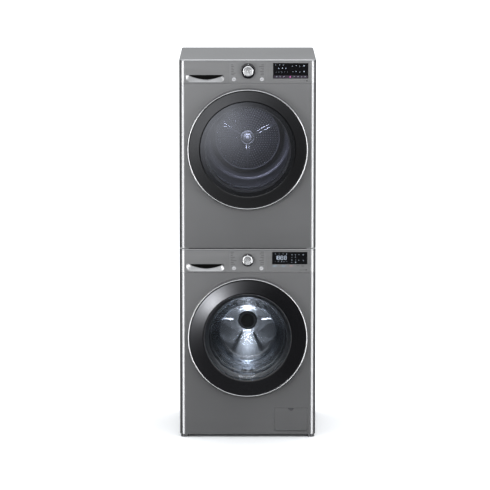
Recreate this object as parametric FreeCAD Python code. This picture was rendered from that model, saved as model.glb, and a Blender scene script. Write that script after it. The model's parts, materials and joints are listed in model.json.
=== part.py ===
import FreeCAD, Part
import math
import os

# Washer dryer stack: a front-loading washing machine with a heat-pump tumble dryer on top.
# Millimetres. X is right as seen from the front, Y runs to the back, Z is up.
# The origin is the centre of the footprint at the bottom of the feet.

# ---- Driving dimensions -------------------------------------------------------------

WIDTH = 600.0               # both cabinets
DEPTH = 690.0               # front of the doors to the dryer's rear cover
HEIGHT = 1680.0
DOOR_PROUD = 42.0           # how far a door stands out of its front panel
FOOT_HEIGHT = 13.0
WASHER_TOP = 844.0
DRYER_BOTTOM = 848.0
WASHER_BACK = 297.0         # outer face of the washer's back panel
REAR_COVER = 8.0            # depth of the dryer's pressed rear cover
FASCIA_HEIGHT = 104.0
CORNER = 23.0               # radius of the upright front corners
SHEET = 2.0                 # cabinet steel
SEAM = 0.8                  # visible gap between neighbouring panels
TOP_THICK = 9.0             # height of a top panel's rim
FASCIA_THICK = 4.0

WASHER_DOOR_Z = 452.0       # centre of the washer's door and drum
DRYER_DOOR_Z = 1287.0       # centre of the dryer's door and drum
DOOR_R = 267.0
TRIM_R = 259.0              # inside of the chrome trim
PANEL_HOLE_R = 188.0
HINGE_X = -256.0            # the doors' upright hinge axis
HINGE_Y = -326.0
PIN_R = 3.0
PIN_FIT = 0.05              # radial running clearance of pins and shafts

HALF = WIDTH / 2
DOOR_FRONT = -DEPTH / 2
FRONT = DOOR_FRONT + DOOR_PROUD
DRYER_BACK = DEPTH / 2 - REAR_COVER
FLAT = HALF - CORNER        # half width of the flat front
WASHER_FASCIA = WASHER_TOP - FASCIA_HEIGHT
DRYER_FASCIA = HEIGHT - FASCIA_HEIGHT

# ---- Helpers ------------------------------------------------------------------------


def vec(x, y, z):
    return FreeCAD.Vector(x, y, z)


def block(x0, x1, y0, y1, z0, z1):
    """A box between two corners."""
    return Part.makeBox(x1 - x0, y1 - y0, z1 - z0, vec(x0, y0, z0))


def rod_x(r, x0, x1, y, z):
    return Part.makeCylinder(r, x1 - x0, vec(x0, y, z), vec(1, 0, 0))


def rod_y(r, y0, y1, x=0.0, z=0.0):
    return Part.makeCylinder(r, y1 - y0, vec(x, y0, z), vec(0, 1, 0))


def rod_z(r, z0, z1, x=0.0, y=0.0):
    return Part.makeCylinder(r, z1 - z0, vec(x, y, z0), vec(0, 0, 1))


def ring_y(outer, inner, y0, y1, x=0.0, z=0.0):
    return rod_y(outer, y0, y1, x, z).cut(rod_y(inner, y0 - 1, y1 + 1, x, z))


def outline(place, start, *steps):
    """A face from straight steps (a point) and arcs (a pair: a point on the arc, its end)."""
    edges = []
    here = start
    for step in steps + (start,):
        if isinstance(step[0], tuple):
            middle, there = step
            edges.append(Part.Arc(place(*here), place(*middle), place(*there)).toShape())
        elif step != here:
            there = step
            edges.append(Part.LineSegment(place(*here), place(*there)).toShape())
        here = there
    return Part.Face(Part.Wire(edges))


def turned(z, start, *steps):
    """A body of revolution about the door axis at height z, from an (r, y) outline."""
    face = outline(lambda r, y: vec(r, y, z), start, *steps)
    return face.revolve(vec(0, 0, z), vec(0, 1, 0), 360)


def upright(z0, z1, start, *steps):
    """An (x, y) outline raised from z0 to z1."""
    face = outline(lambda x, y: vec(x, y, z0), start, *steps)
    return face.extrude(vec(0, 0, z1 - z0))


def cut(shape, *tools):
    return shape.cut(list(tools))


def joined(*shapes):
    return shapes[0].fuse(list(shapes[1:])).removeSplitter()


def mirrored(shape):
    """The same piece on the other side of the cabinet."""
    return shape.mirror(vec(0, 0, 0), vec(1, 0, 0))


def turned_copy(shape, z, degrees):
    """A copy turned about the drum axis at height z."""
    copy = shape.copy()
    copy.rotate(vec(0, 0, z), vec(0, 1, 0), degrees)
    return copy


def save(name, *solids):
    shape = solids[0] if len(solids) == 1 else Part.makeCompound(list(solids))
    shape.exportStep(os.path.join("parts", name + ".step"))


# ---- Cabinets -----------------------------------------------------------------------


def corner_arc(side, inset):
    """The middle and end of the upright corner's arc, from the front towards the side."""
    r = CORNER - inset
    diagonal = r * math.sqrt(0.5)
    middle = (side * (FLAT + diagonal), FRONT + CORNER - diagonal)
    end = (side * (FLAT + r), FRONT + CORNER)
    return middle, end


def side_panel(z0, z1, fascia_z, back):
    """The right side wall, turned round the front corner below the fascia."""
    middle, end = corner_arc(1, 0)
    inner_middle, inner_end = corner_arc(1, SHEET)
    wall = upright(
        z0, z1,
        (FLAT, FRONT),
        (middle, end),
        (HALF, back),
        (HALF - SHEET, back),
        inner_end,
        (inner_middle, (FLAT, FRONT + SHEET)),
    )
    fascia_room = block(0, HALF + 1, FRONT - 1, FRONT + CORNER + SEAM, fascia_z - SEAM, z1 + 1)
    return wall.cut(fascia_room)


def top_panel(z0, z1, back, edge):
    """A shallow lid with rounded front corners and a softened rim, hollow underneath."""
    left_middle, left_end = corner_arc(-1, 0)
    right_middle, right_end = corner_arc(1, 0)
    lid = upright(
        z0, z1,
        left_end,
        (left_middle, (-FLAT, FRONT)),
        (FLAT, FRONT),
        (right_middle, right_end),
        (HALF, back),
        (-HALF, back),
    )
    rim = [e for e in lid.Edges if e.BoundBox.ZMin > z1 - 0.01 and e.BoundBox.YMin < back - 1]
    lid = lid.makeFillet(edge, rim)
    hollow = block(-FLAT, FLAT, FRONT + CORNER, back - 6, z0 - 1, z1 - SHEET)
    return lid.cut(hollow)


def fascia_shell(z0, z1):
    """The control fascia: a moulded front that wraps both upright corners."""
    left_middle, left_end = corner_arc(-1, 0)
    right_middle, right_end = corner_arc(1, 0)
    in_left_middle, in_left_end = corner_arc(-1, FASCIA_THICK)
    in_right_middle, in_right_end = corner_arc(1, FASCIA_THICK)
    return upright(
        z0, z1,
        left_end,
        (left_middle, (-FLAT, FRONT)),
        (FLAT, FRONT),
        (right_middle, right_end),
        in_right_end,
        (in_right_middle, (FLAT, FRONT + FASCIA_THICK)),
        (-FLAT, FRONT + FASCIA_THICK),
        (in_left_middle, in_left_end),
    )


LATCH_X0, LATCH_X1 = 201.0, 206.0       # the latch hook on each door
LATCH_SLOT = (198.0, 213.0)
LATCH_HALF = 8.0
BRACKET_X = (-250.0, -215.0)            # the hinge bracket's plate
LUG_Z = (45.0, 57.0)                    # lugs above and below the door centre


def front_panel(z0, z1, door_z):
    """A flat front with the loading opening turned inwards and a slot for the latch."""
    plate = block(-FLAT + SEAM, FLAT - SEAM, FRONT, FRONT + SHEET, z0, z1)
    collar = ring_y(PANEL_HOLE_R + SHEET, PANEL_HOLE_R, FRONT, FRONT + 12, 0, door_z)
    plate = joined(plate, collar)
    hole = rod_y(PANEL_HOLE_R, FRONT - 1, FRONT + 20, 0, door_z)
    slot_half = LATCH_HALF + 6
    slot = block(*LATCH_SLOT, FRONT - 1, FRONT + SHEET + 1, door_z - slot_half, door_z + slot_half)
    return cut(plate, hole, slot)


def back_panel(z0, z1, y):
    return block(-HALF + SHEET, HALF - SHEET, y - SHEET, y, z0, z1)


def tray_base(z0, height, back):
    """A folded tray that closes the cabinet below."""
    x = HALF - SHEET
    front = FRONT + SHEET + 1
    bevel = CORNER - 4
    tray = upright(
        z0, z0 + height,
        (-x, front + bevel),
        (-x + bevel, front),
        (x - bevel, front),
        (x, front + bevel),
        (x, back - SHEET),
        (-x, back - SHEET),
    )
    inside = block(
        -x + 3, x - 3, front + bevel + 3, back - SHEET - 3, z0 + 3, z0 + height + 1)
    return tray.cut(inside)


# ---- Controls -----------------------------------------------------------------------

DRAWER_X = (-276.0, -86.0)          # visible front of the drawer and of the water tank
DRAWER_PLATE = 2.0
DRAWER_REBATE = 2.4
POCKET_X = (-272.0, -100.0)         # moulding behind the finger recess
POCKET_DEPTH = 30.0
BUTTON_R = 8.5
BUTTON_GAP = 0.5
BUTTON_PROUD = 2.2
BUTTON_RISE = 17.0                  # button centres above the fascia's lower edge
DISPLAY_GAP = 0.3
KNOB_SHAFT_R = 4.0


def drawer_opening(z0, z1):
    """The room the drawer front needs in the fascia: a rebate, and a way through."""
    x0, x1 = DRAWER_X
    rebate = block(
        x0 - 0.4, x1 + 0.6, FRONT - 1, FRONT + DRAWER_REBATE, z0 - 1, z1 + 1)
    through = block(x0 + 1.5, x1 - 4, FRONT - 1, FRONT + 10, z0 - 1, z1 - 6)
    return joined(rebate, through)


def display_room(x0, x1, z0, z1):
    return block(x0, x1, FRONT - 1, FRONT + FASCIA_THICK + 1, z0, z1)


def display_window(x0, x1, z0, z1):
    """A dark window with a rear flange that carries it in the fascia."""
    gap = DISPLAY_GAP
    pane = block(
        x0 + gap, x1 - gap, FRONT - 0.6, FRONT + FASCIA_THICK, z0 + gap, z1 - gap)
    corners = [e for e in pane.Edges if abs(e.BoundBox.YLength - pane.BoundBox.YLength) < 0.01]
    pane = pane.makeFillet(2.0, corners)
    flange = block(
        x0 - 6, x1 + 6, FRONT + FASCIA_THICK, FRONT + FASCIA_THICK + 3, z0 - 5, z1 + 5)
    return joined(pane, flange)


def finger_recess(z0):
    """The scooped recess of a drawer front: a sloping lip that leads into a deep slot."""
    mouth_y = FRONT - 0.01
    slot_y = FRONT + 9
    mouth = outline(
        lambda x, z: vec(x, mouth_y, z0 + z),
        (-268, 36),
        (-108, 36),
        ((-103, 19), (-118, 4)),
        (-252, 4),
        ((-267, 15), (-268, 36)),
    )
    slot = outline(
        lambda x, z: vec(x, slot_y, z0 + z),
        (-256, 35),
        (-112, 35),
        ((-115, 30), (-126, 25)),
        ((-182, 15), (-238, 25)),
        ((-250, 30), (-256, 35)),
    )
    scoop = Part.makeLoft([mouth.OuterWire, slot.OuterWire], True, True)
    deep = slot.extrude(vec(0, POCKET_DEPTH - 12, 0))
    hook_room = block(-240, -125, FRONT + 13, FRONT + POCKET_DEPTH - 3, z0 + 26, z0 + 47)
    return joined(scoop, deep, hook_room)


def drawer_front(z0, z1):
    """A flat front plate with the finger recess moulded behind it."""
    x0, x1 = DRAWER_X
    plate = block(x0, x1, FRONT, FRONT + DRAWER_PLATE, z0 + 0.5, z1 - SEAM)
    pocket = block(
        *POCKET_X, FRONT + DRAWER_PLATE, FRONT + POCKET_DEPTH, z0 + 2, z0 + 50)
    return joined(plate, pocket).cut(finger_recess(z0))


def button(x, z):
    """A round push button; its rear flange stops it behind the fascia."""
    cap = rod_y(BUTTON_R, FRONT - BUTTON_PROUD, FRONT + FASCIA_THICK + 1, x, z)
    front = [e for e in cap.Edges if e.BoundBox.YMax < FRONT - BUTTON_PROUD + 0.01]
    cap = cap.makeFillet(1.0, front)
    inner = FRONT + FASCIA_THICK
    flange = rod_y(BUTTON_R + 3, inner + 0.4, inner + 2.4, x, z)
    stem = rod_y(3.0, inner + 2.4, inner + 8, x, z)
    return joined(cap, flange, stem)


def knob(x, z, skirt_r, cap_r):
    """The programme knob: a flared skirt, a raised metal face and a stub shaft."""
    face_y = FRONT - 22
    body = outline(
        lambda r, y: vec(x + r, y, z),
        (0, FRONT - 0.5),
        (skirt_r, FRONT - 0.5),
        (skirt_r, FRONT - 4),
        ((skirt_r - 3.0, FRONT - 12), (skirt_r - 3.5, FRONT - 18)),
        ((skirt_r - 4.5, FRONT - 20.5), (cap_r + 1.0, FRONT - 21)),
        (cap_r, FRONT - 20),
        (cap_r, face_y),
        (0, face_y),
    ).revolve(vec(x, 0, z), vec(0, 1, 0), 360)
    shaft = rod_y(KNOB_SHAFT_R, FRONT - 1, FRONT + 16, x, z)
    notch = block(x - 1, x + 1, face_y - 1, face_y + 3, z + skirt_r - 5, z + skirt_r + 1)
    return joined(body, shaft).cut(notch)


def fascia(z0, z1, knob_at, buttons, display):
    """The fascia shell with openings for the drawer, the controls and the display."""
    shell = fascia_shell(z0, z1)
    tools = [drawer_opening(z0, z1), display_room(*display)]
    tools.append(rod_y(KNOB_SHAFT_R + BUTTON_GAP, FRONT - 1, FRONT + 10, *knob_at))
    for x, z in buttons:
        tools.append(rod_y(BUTTON_R + BUTTON_GAP, FRONT - 1, FRONT + 10, x, z))
    return cut(shell, *tools)


# ---- Doors --------------------------------------------------------------------------

RING_FRONT = DOOR_FRONT + 15        # face of the ring that carries the bezel
RING_REAR = FRONT - 4
RING_INNER_R = 192.0
RIM_WALL = 9.0
LUG_FIT = 1.0
DRYER_COLLAR_R = 186.5              # outside of the collar around the dryer door's inner pane
COLLAR_WALL = 3.0


def lug_pockets(door_z):
    """Slots that let the hinge lugs into the door."""
    z_low, z_high = LUG_Z
    pockets = []
    for sign in (-1, 1):
        z0, z1 = sorted((door_z + sign * z_low, door_z + sign * z_high))
        pockets.append(block(-275, -222, RING_FRONT - 4, FRONT, z0, z1))
    return joined(*pockets)


def finger_pocket(door_z):
    return block(236, 275, FRONT - 19, FRONT, door_z - 55, door_z + 55)


def door_ring(door_z):
    """The moulded door ring: a channel open to the rear, with a boss around the pin."""
    channel = turned(
        door_z,
        (RING_INNER_R, RING_REAR),
        (RING_INNER_R, RING_FRONT),
        (DOOR_R, RING_FRONT),
        (DOOR_R, FRONT - 9),
        (DOOR_R - 5, RING_REAR),
        (DOOR_R - RIM_WALL, RING_REAR),
        (DOOR_R - RIM_WALL, RING_FRONT + 4),
        (RING_INNER_R + 6, RING_FRONT + 4),
        (RING_INNER_R + 6, RING_REAR),
    )
    boss = block(-266, -218, RING_FRONT + 2, RING_REAR, door_z - 74, door_z + 74)
    boss = boss.common(rod_y(DOOR_R - 5, RING_FRONT, RING_REAR, 0, door_z))
    body = joined(channel, boss)
    body = cut(body, lug_pockets(door_z), finger_pocket(door_z))
    pin = rod_z(PIN_R, door_z - 66, door_z + 66, HINGE_X, HINGE_Y)
    return joined(body, pin)


def door_trim(door_z):
    """The bright outer ring with a rounded front."""
    crown_r = (TRIM_R + DOOR_R) / 2
    shoulder = DOOR_FRONT + (DOOR_R - TRIM_R) / 2
    trim = turned(
        door_z,
        (TRIM_R, RING_FRONT),
        (TRIM_R, shoulder),
        ((crown_r, DOOR_FRONT), (DOOR_R, shoulder)),
        (DOOR_R, RING_FRONT),
    )
    return trim.cut(lug_pockets(door_z))


def door_bezel(door_z, window_r, window_y):
    """The dark glossy ring, dished towards the window."""
    outer = TRIM_R - 0.5
    step = 8.0
    middle_r = (outer + window_r + step) / 2
    bezel = turned(
        door_z,
        (window_r, RING_FRONT),
        (window_r, window_y),
        ((window_r + step * 0.35, window_y - 3.5), (window_r + step, window_y - 5.5)),
        ((middle_r, window_y - 9.5), (outer, DOOR_FRONT + 2.5)),
        (outer, RING_FRONT),
    )
    return bezel.cut(lug_pockets(door_z))


def latch_hook(door_z):
    """The hook that the door lock holds, with an eye for the bolt."""
    hook = block(
        LATCH_X0, LATCH_X1, RING_REAR - 3, FRONT + 18, door_z - LATCH_HALF, door_z + LATCH_HALF)
    eye = rod_x(4.0, LATCH_X0 - 1, LATCH_X1 + 1, FRONT + 11, door_z)
    return hook.cut(eye)


def inner_frame(door_z, collar_r):
    """The rear cover of the door ring; a collar reaches into the opening if there's a radius."""
    cover = ring_y(DOOR_R - RIM_WALL - 0.5, RING_INNER_R + 6.5, RING_REAR - 3, RING_REAR, 0, door_z)
    cover = cut(cover, lug_pockets(door_z), finger_pocket(door_z))
    cover = cover.cut(block(-266, -218, RING_REAR - 4, RING_REAR + 1, door_z - 75, door_z + 75))
    frame = joined(cover, latch_hook(door_z))
    if collar_r:
        inner = collar_r - COLLAR_WALL
        web = ring_y(RING_INNER_R - 0.3, inner, RING_REAR - 3, RING_REAR, 0, door_z)
        collar = ring_y(collar_r, inner, RING_REAR - 3, FRONT + 13, 0, door_z)
        return frame, joined(web, collar)
    return (frame,)


BOWL_MOUTH_R = 191.5
BOWL_NECK = (172.0, FRONT + 3)      # radius and depth where the bowl passes the gasket
BOWL_FLOOR = (125.0, -165.0)
GLASS = 4.0


def door_bowl(door_z):
    """The deep glass window bowl, open to the front."""
    neck_r, neck_y = BOWL_NECK
    floor_r, floor_y = BOWL_FLOOR
    mouth_y = RING_FRONT + 1
    return turned(
        door_z,
        (BOWL_MOUTH_R, mouth_y),
        (BOWL_MOUTH_R, RING_REAR - 6),
        ((185, RING_REAR), (neck_r, neck_y)),
        (floor_r, floor_y - 14),
        ((floor_r - 7, floor_y - 4), (floor_r - 20, floor_y)),
        (0, floor_y),
        (0, floor_y - GLASS),
        (floor_r - 20, floor_y - GLASS),
        ((floor_r - 10, floor_y - 8), (floor_r - GLASS, floor_y - 15)),
        (neck_r - GLASS, neck_y - 3),
        ((178, RING_REAR - 6), (BOWL_MOUTH_R - GLASS, mouth_y)),
    )


def hinge_bracket(door_z):
    """The plate screwed to the front panel, with two lugs around the door's pin."""
    plate = block(*BRACKET_X, FRONT - SHEET, FRONT, door_z - 70, door_z + 70)
    holes = [rod_y(2.6, FRONT - 5, FRONT + 1, -232, door_z + z) for z in (-64, -20, 20, 64)]
    plate = cut(plate, *holes)
    z_low, z_high = LUG_Z
    lugs = []
    for sign in (-1, 1):
        z0, z1 = sorted((door_z + sign * (z_low + LUG_FIT), door_z + sign * (z_high - LUG_FIT)))
        arm = upright(
            z0, z1,
            (HINGE_X - 5, HINGE_Y + 3),
            (-246, FRONT - SHEET),
            (-228, FRONT - SHEET),
            (HINGE_X + 4, HINGE_Y - 4),
        )
        knuckle = rod_z(PIN_R + 3, z0, z1, HINGE_X, HINGE_Y)
        lugs.append(joined(arm, knuckle))
    bracket = joined(plate, *lugs)
    bore = rod_z(PIN_R + PIN_FIT, door_z - 80, door_z + 80, HINGE_X, HINGE_Y)
    return bracket.cut(bore)


def door_lock(door_z):
    """The lock behind the front panel, with a slot that the hook enters."""
    x0, x1 = LATCH_SLOT
    body = block(x0 - 4, x1 + 12, FRONT + 16 - 13, FRONT + 34, door_z - 32, door_z + 32)
    entry = block(x0, x1, FRONT, FRONT + 26, door_z - LATCH_HALF - 6, door_z + LATCH_HALF + 6)
    return body.cut(entry)


# ---- Shared inner pieces ------------------------------------------------------------

THREE_WAYS = (0, 120, 240)


def lifter(z, base_r, height, width, y0, y1):
    """A tapered paddle along the drum's lowest line, rounded at its crest."""
    foot_z = z - math.sqrt(base_r ** 2 - (width / 2) ** 2)
    crest_z = foot_z + height
    shoulder = width / 5
    face = outline(
        lambda x, up: vec(x, y0, up),
        (-width / 2, foot_z),
        (-shoulder, crest_z - 8),
        ((0, crest_z), (shoulder, crest_z - 8)),
        (width / 2, foot_z),
    )
    return face.extrude(vec(0, y1 - y0, 0))


def three_around(shape, z):
    return [turned_copy(shape, z, angle) for angle in THREE_WAYS]


FOOT_R = 16.0
FOOT_STUD_R = 5.0
FOOT_X = HALF - 21
FOOT_Y = (FRONT + FOOT_R + 2, WASHER_BACK - 35)
FEET = [(x, y) for x in (-FOOT_X, FOOT_X) for y in FOOT_Y]


def foot(x, y):
    pad = rod_z(FOOT_R, 0, FOOT_HEIGHT, x, y)
    lower = [e for e in pad.Edges if e.BoundBox.ZMax < 0.01]
    pad = pad.makeFillet(2.0, lower)
    return joined(pad, rod_z(FOOT_STUD_R, FOOT_HEIGHT, FOOT_HEIGHT + 14, x, y))



# ---- Washer -------------------------------------------------------------------------

TUB_R = 258.0
TUB_WALL = 4.0
TUB_FRONT, TUB_REAR = -262.0, 180.0
DRUM_R = 240.0
DRUM_SHEET = 1.5
DRUM_FRONT, DRUM_REAR = -248.0, 140.0
DRUM_MOUTH_R = 176.0
SHAFT_R = 15.0
STRUT_X = 150.0                     # dampers under the tub
SPRING_X = 235.0
TUB_LUG_Y = (15.0, 45.0)
STRUT_Y = 30.0
DAMPER_TOP = 160.0
DAMPER_ROD_R = 6.0
SPRING_TOP = 800.0
SPRING_FOOT = 592.5

HATCH_X = (118.0, 266.0)            # opening for the drain filter in the front panel
HATCH_Z = (26.0, 131.0)
HATCH_THICK = 4.0
HATCH_GAP = 0.7
HATCH_AXIS_Z = HATCH_Z[0] + HATCH_GAP + HATCH_THICK / 2
HATCH_AXIS_Y = FRONT + HATCH_THICK / 2
HATCH_PIN_R = 1.0
EAR = (6.0, 5.5)                    # width and height of the ears that hold its pins
FILTER_X, FILTER_Z = 192.0, 78.0

WASHER_KNOB = (0.0, WASHER_FASCIA + 55)
WASHER_BUTTONS = [(-60.0, WASHER_FASCIA + BUTTON_RISE), (60.0, WASHER_FASCIA + BUTTON_RISE)]
WASHER_DISPLAY = (108.0, 263.0, WASHER_FASCIA + 35, WASHER_FASCIA + 90)


def washer_front():
    """The washer's front panel with the filter opening and the ears of its hatch."""
    panel = front_panel(FOOT_HEIGHT + 1, WASHER_FASCIA - SEAM, WASHER_DOOR_Z)
    panel = panel.cut(block(*HATCH_X, FRONT - 1, FRONT + SHEET + 1, *HATCH_Z))
    x0, x1 = HATCH_X
    z0 = HATCH_Z[0]
    ears = [
        block(x, x + EAR[0], FRONT, FRONT + 5, z0, z0 + EAR[1]) for x in (x0, x1 - EAR[0])
    ]
    bore = rod_x(HATCH_PIN_R + PIN_FIT, x0 - 1, x1 + 1, HATCH_AXIS_Y, HATCH_AXIS_Z)
    ears = [ear.cut(bore) for ear in ears]
    return joined(panel, *ears)


def pump_hatch():
    """A flap on two pins at its lower edge, with a finger notch at its top."""
    x0, x1 = HATCH_X[0] + HATCH_GAP, HATCH_X[1] - HATCH_GAP
    top = HATCH_Z[1] - HATCH_GAP
    plate = block(x0, x1, FRONT, FRONT + HATCH_THICK, HATCH_AXIS_Z, top)
    ear_top = HATCH_Z[0] + EAR[1] + 1.2
    plate = cut(
        plate,
        block(x0 - 1, HATCH_X[0] + EAR[0] + 0.5, FRONT - 1, FRONT + 9, 0, ear_top),
        block(HATCH_X[1] - EAR[0] - 0.5, x1 + 1, FRONT - 1, FRONT + 9, 0, ear_top),
    )
    inner = (HATCH_X[0] + EAR[0] + 0.5, HATCH_X[1] - EAR[0] - 0.5)
    roll = rod_x(HATCH_THICK / 2, *inner, HATCH_AXIS_Y, HATCH_AXIS_Z)
    pins = rod_x(HATCH_PIN_R, inner[0] - 5, inner[1] + 5, HATCH_AXIS_Y, HATCH_AXIS_Z)
    middle = (HATCH_X[0] + HATCH_X[1]) / 2
    notch = rod_y(12.5, FRONT - 1, FRONT + HATCH_THICK - 1.2, middle, top)
    return joined(plate.cut(notch), roll, pins)


def gasket():
    """The rubber bellows between the front panel and the tub, with a lip on the bowl."""
    lip_r = BOWL_NECK[0] + 1.5
    return turned(
        WASHER_DOOR_Z,
        (PANEL_HOLE_R - 0.5, FRONT + 1),
        (PANEL_HOLE_R - 0.5, TUB_FRONT - 8),
        ((183, TUB_FRONT - 3), (178, TUB_FRONT - 0.5)),
        (172, TUB_FRONT - 0.5),
        ((178, TUB_FRONT - 5), (180, TUB_FRONT - 14)),
        ((174, TUB_FRONT - 20), (lip_r, FRONT + 20)),
        ((lip_r - 1, FRONT + 16), (lip_r, FRONT + 11)),
        ((180, FRONT + 8), (184, FRONT + 1)),
    )


def tub():
    """The plastic tub, its bearing hub, spring lugs and damper rods."""
    shell = turned(
        WASHER_DOOR_Z,
        (184, TUB_FRONT),
        (TUB_R, TUB_FRONT),
        (TUB_R, TUB_REAR),
        (45, TUB_REAR),
        (45, TUB_REAR + 22),
        (SHAFT_R + PIN_FIT, TUB_REAR + 22),
        (SHAFT_R + PIN_FIT, TUB_REAR - TUB_WALL),
        (TUB_R - TUB_WALL, TUB_REAR - TUB_WALL),
        (TUB_R - TUB_WALL, TUB_FRONT + TUB_WALL),
        (184, TUB_FRONT + TUB_WALL),
    )
    inside = rod_y(TUB_R - 1, TUB_FRONT, TUB_REAR, 0, WASHER_DOOR_Z)
    extras = []
    for side in (-1, 1):
        x0, x1 = sorted((side * (SPRING_X - 25), side * (SPRING_X + 12)))
        extras.append(block(x0, x1, *TUB_LUG_Y, 545, SPRING_FOOT - 0.5).cut(inside))
        x = side * STRUT_X
        extras.append(block(x - 15, x + 15, *TUB_LUG_Y, 215, 262).cut(inside))
        extras.append(rod_z(DAMPER_ROD_R, 96, 216, x, STRUT_Y))
    return joined(shell, *extras)


def washer_drum():
    """The open-mouthed steel drum; its back is dished around the hub."""
    return turned(
        WASHER_DOOR_Z,
        (DRUM_MOUTH_R, DRUM_FRONT),
        (DRUM_R - 8, DRUM_FRONT),
        ((DRUM_R - 2, DRUM_FRONT + 2), (DRUM_R, DRUM_FRONT + 8)),
        (DRUM_R, DRUM_REAR),
        (SHAFT_R, DRUM_REAR),
        (SHAFT_R, DRUM_REAR - DRUM_SHEET),
        (DRUM_R - DRUM_SHEET, DRUM_REAR - DRUM_SHEET),
        (DRUM_R - DRUM_SHEET, DRUM_FRONT + 9),
        ((DRUM_R - 4, DRUM_FRONT + 3.5), (DRUM_R - 9, DRUM_FRONT + DRUM_SHEET)),
        (DRUM_MOUTH_R, DRUM_FRONT + DRUM_SHEET),
    )


def drum_spider():
    """The cast three-armed spider behind the drum, its hub cap and the drum shaft."""
    z = WASHER_DOOR_Z
    arm = block(-22, 22, DRUM_REAR, DRUM_REAR + 20, z - 226, z)
    hub = rod_y(44, DRUM_REAR, DRUM_REAR + 26, 0, z)
    cap = rod_y(40, DRUM_REAR - 14, DRUM_REAR - DRUM_SHEET, 0, z)
    shaft = rod_y(SHAFT_R, DRUM_REAR - DRUM_SHEET, TUB_REAR + 52, 0, z)
    return joined(hub, cap, shaft, *three_around(arm, z))


def rotor():
    """The outer cup of the direct-drive motor."""
    y = TUB_REAR
    return turned(
        WASHER_DOOR_Z,
        (SHAFT_R, y + 50),
        (138, y + 50),
        (138, y + 22),
        (132, y + 22),
        (132, y + 45),
        (SHAFT_R, y + 45),
    )


def stator():
    y = TUB_REAR
    core = ring_y(100, 45.2, y + 0.5, y + 38, 0, WASHER_DOOR_Z)
    poles = ring_y(129, 98, y + 14, y + 38, 0, WASHER_DOOR_Z)
    return joined(core, poles)


def counterweights():
    """Two concrete crescents on the tub's front face."""
    z = WASHER_DOOR_Z
    full = ring_y(252, 200, TUB_FRONT - 22, TUB_FRONT - 0.3, 0, z)
    upper = full.common(block(-205, 205, -400, 0, z + 110, z + 300))
    lower = full.common(block(-205, 205, -400, 0, z - 300, z - 110))
    return upper, lower


def springs():
    coils = []
    for side in (-1, 1):
        x = side * SPRING_X
        sleeve = rod_z(9, SPRING_FOOT, SPRING_TOP, x, STRUT_Y)
        coils.append(sleeve.cut(rod_z(6.5, SPRING_FOOT - 1, SPRING_TOP + 1, x, STRUT_Y)))
    return coils


def spring_hangers():
    """Folded brackets on the side panels that carry the springs."""
    out = []
    for side in (-1, 1):
        x0, x1 = sorted((side * (SPRING_X - 14), side * (HALF - SHEET)))
        out.append(block(x0, x1, *TUB_LUG_Y, SPRING_TOP + 0.3, SPRING_TOP + 6))
    return out


def washer_base():
    """The base pan with sockets for the feet and the damper cylinders standing in it."""
    pan = tray_base(FOOT_HEIGHT, 40, WASHER_BACK)
    sockets = [rod_z(FOOT_STUD_R + 0.2, 0, 60, x, y) for x, y in FEET]
    filter_bay = block(
        HATCH_X[0] - 5, HATCH_X[1] + 5, FRONT, -262, FOOT_HEIGHT + 3, FOOT_HEIGHT + 50)
    pan = cut(pan, filter_bay, *sockets)
    dampers = []
    for side in (-1, 1):
        x = side * STRUT_X
        cylinder = rod_z(14, FOOT_HEIGHT + 3, DAMPER_TOP, x, STRUT_Y)
        bore = rod_z(DAMPER_ROD_R + PIN_FIT, 50, DAMPER_TOP + 1, x, STRUT_Y)
        dampers.append(cylinder.cut(bore))
    return [pan] + dampers


SPIGOT_HOLE = 14.0                  # radius of a drain's hole in the back panel
WASHER_SPIGOT = (-200.0, 120.0)
DRYER_SPIGOT = (-262.0, 905.0)


def hose_spigot(r, bore, root, panel, tip, x, z):
    """A hose nozzle with a thicker root that fills its hole in the back panel."""
    nozzle = joined(rod_y(SPIGOT_HOLE - 0.5, root, panel, x, z), rod_y(r, panel, tip, x, z))
    return nozzle.cut(rod_y(bore, root + 4, tip + 1, x, z))


def drain_pump():
    """The pump with the filter's socket at the front, and the hose spigot at the back."""
    housing = rod_y(34, -272, -150, FILTER_X, FILTER_Z)
    socket = rod_y(24.4, -273, -190, FILTER_X, FILTER_Z)
    motor = rod_y(24, -150, -90, FILTER_X, FILTER_Z)
    sump = block(150, 185, -225, -180, FILTER_Z + 20, FILTER_Z + 70)
    pump = joined(housing.cut(socket), motor, sump.cut(socket))
    root = WASHER_BACK - 30
    return pump, hose_spigot(11, 8.5, root, WASHER_BACK, WASHER_BACK + 24, *WASHER_SPIGOT)


def pump_filter():
    """The screw-in filter: a cap with a grip bar and a slotted cage."""
    cap = rod_y(28, -284, -274, FILTER_X, FILTER_Z)
    grip = block(FILTER_X - 22, FILTER_X + 22, -294, -284, FILTER_Z - 4, FILTER_Z + 4)
    cage = rod_y(24, -274, -200, FILTER_X, FILTER_Z)
    cage = cage.cut(rod_y(20, -262, -199, FILTER_X, FILTER_Z))
    slots = [
        block(FILTER_X - 30, FILTER_X + 30, -250 + i * 14, -244 + i * 14, FILTER_Z - 12, FILTER_Z + 12)
        for i in range(3)
    ]
    return joined(cap, grip, cage).cut(slots)


INLET_X = (170.0, 215.0)
INLET_Z = 790.0
INLET_R = 13.2


def inlet_valves():
    """The twin water valve; its threaded spigots stand out of the back panel."""
    body = block(150, 235, WASHER_BACK - 42, WASHER_BACK - SHEET, INLET_Z - 22, INLET_Z + 22)
    collars = [rod_y(INLET_R + 1.5, WASHER_BACK - 9, WASHER_BACK, x, INLET_Z) for x in INLET_X]
    spigots = [rod_y(INLET_R, WASHER_BACK - 9, WASHER_BACK + 22, x, INLET_Z) for x in INLET_X]
    bores = [rod_y(8, WASHER_BACK - 8, WASHER_BACK + 23, x, INLET_Z) for x in INLET_X]
    return cut(joined(body, *collars, *spigots), *bores)


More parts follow.
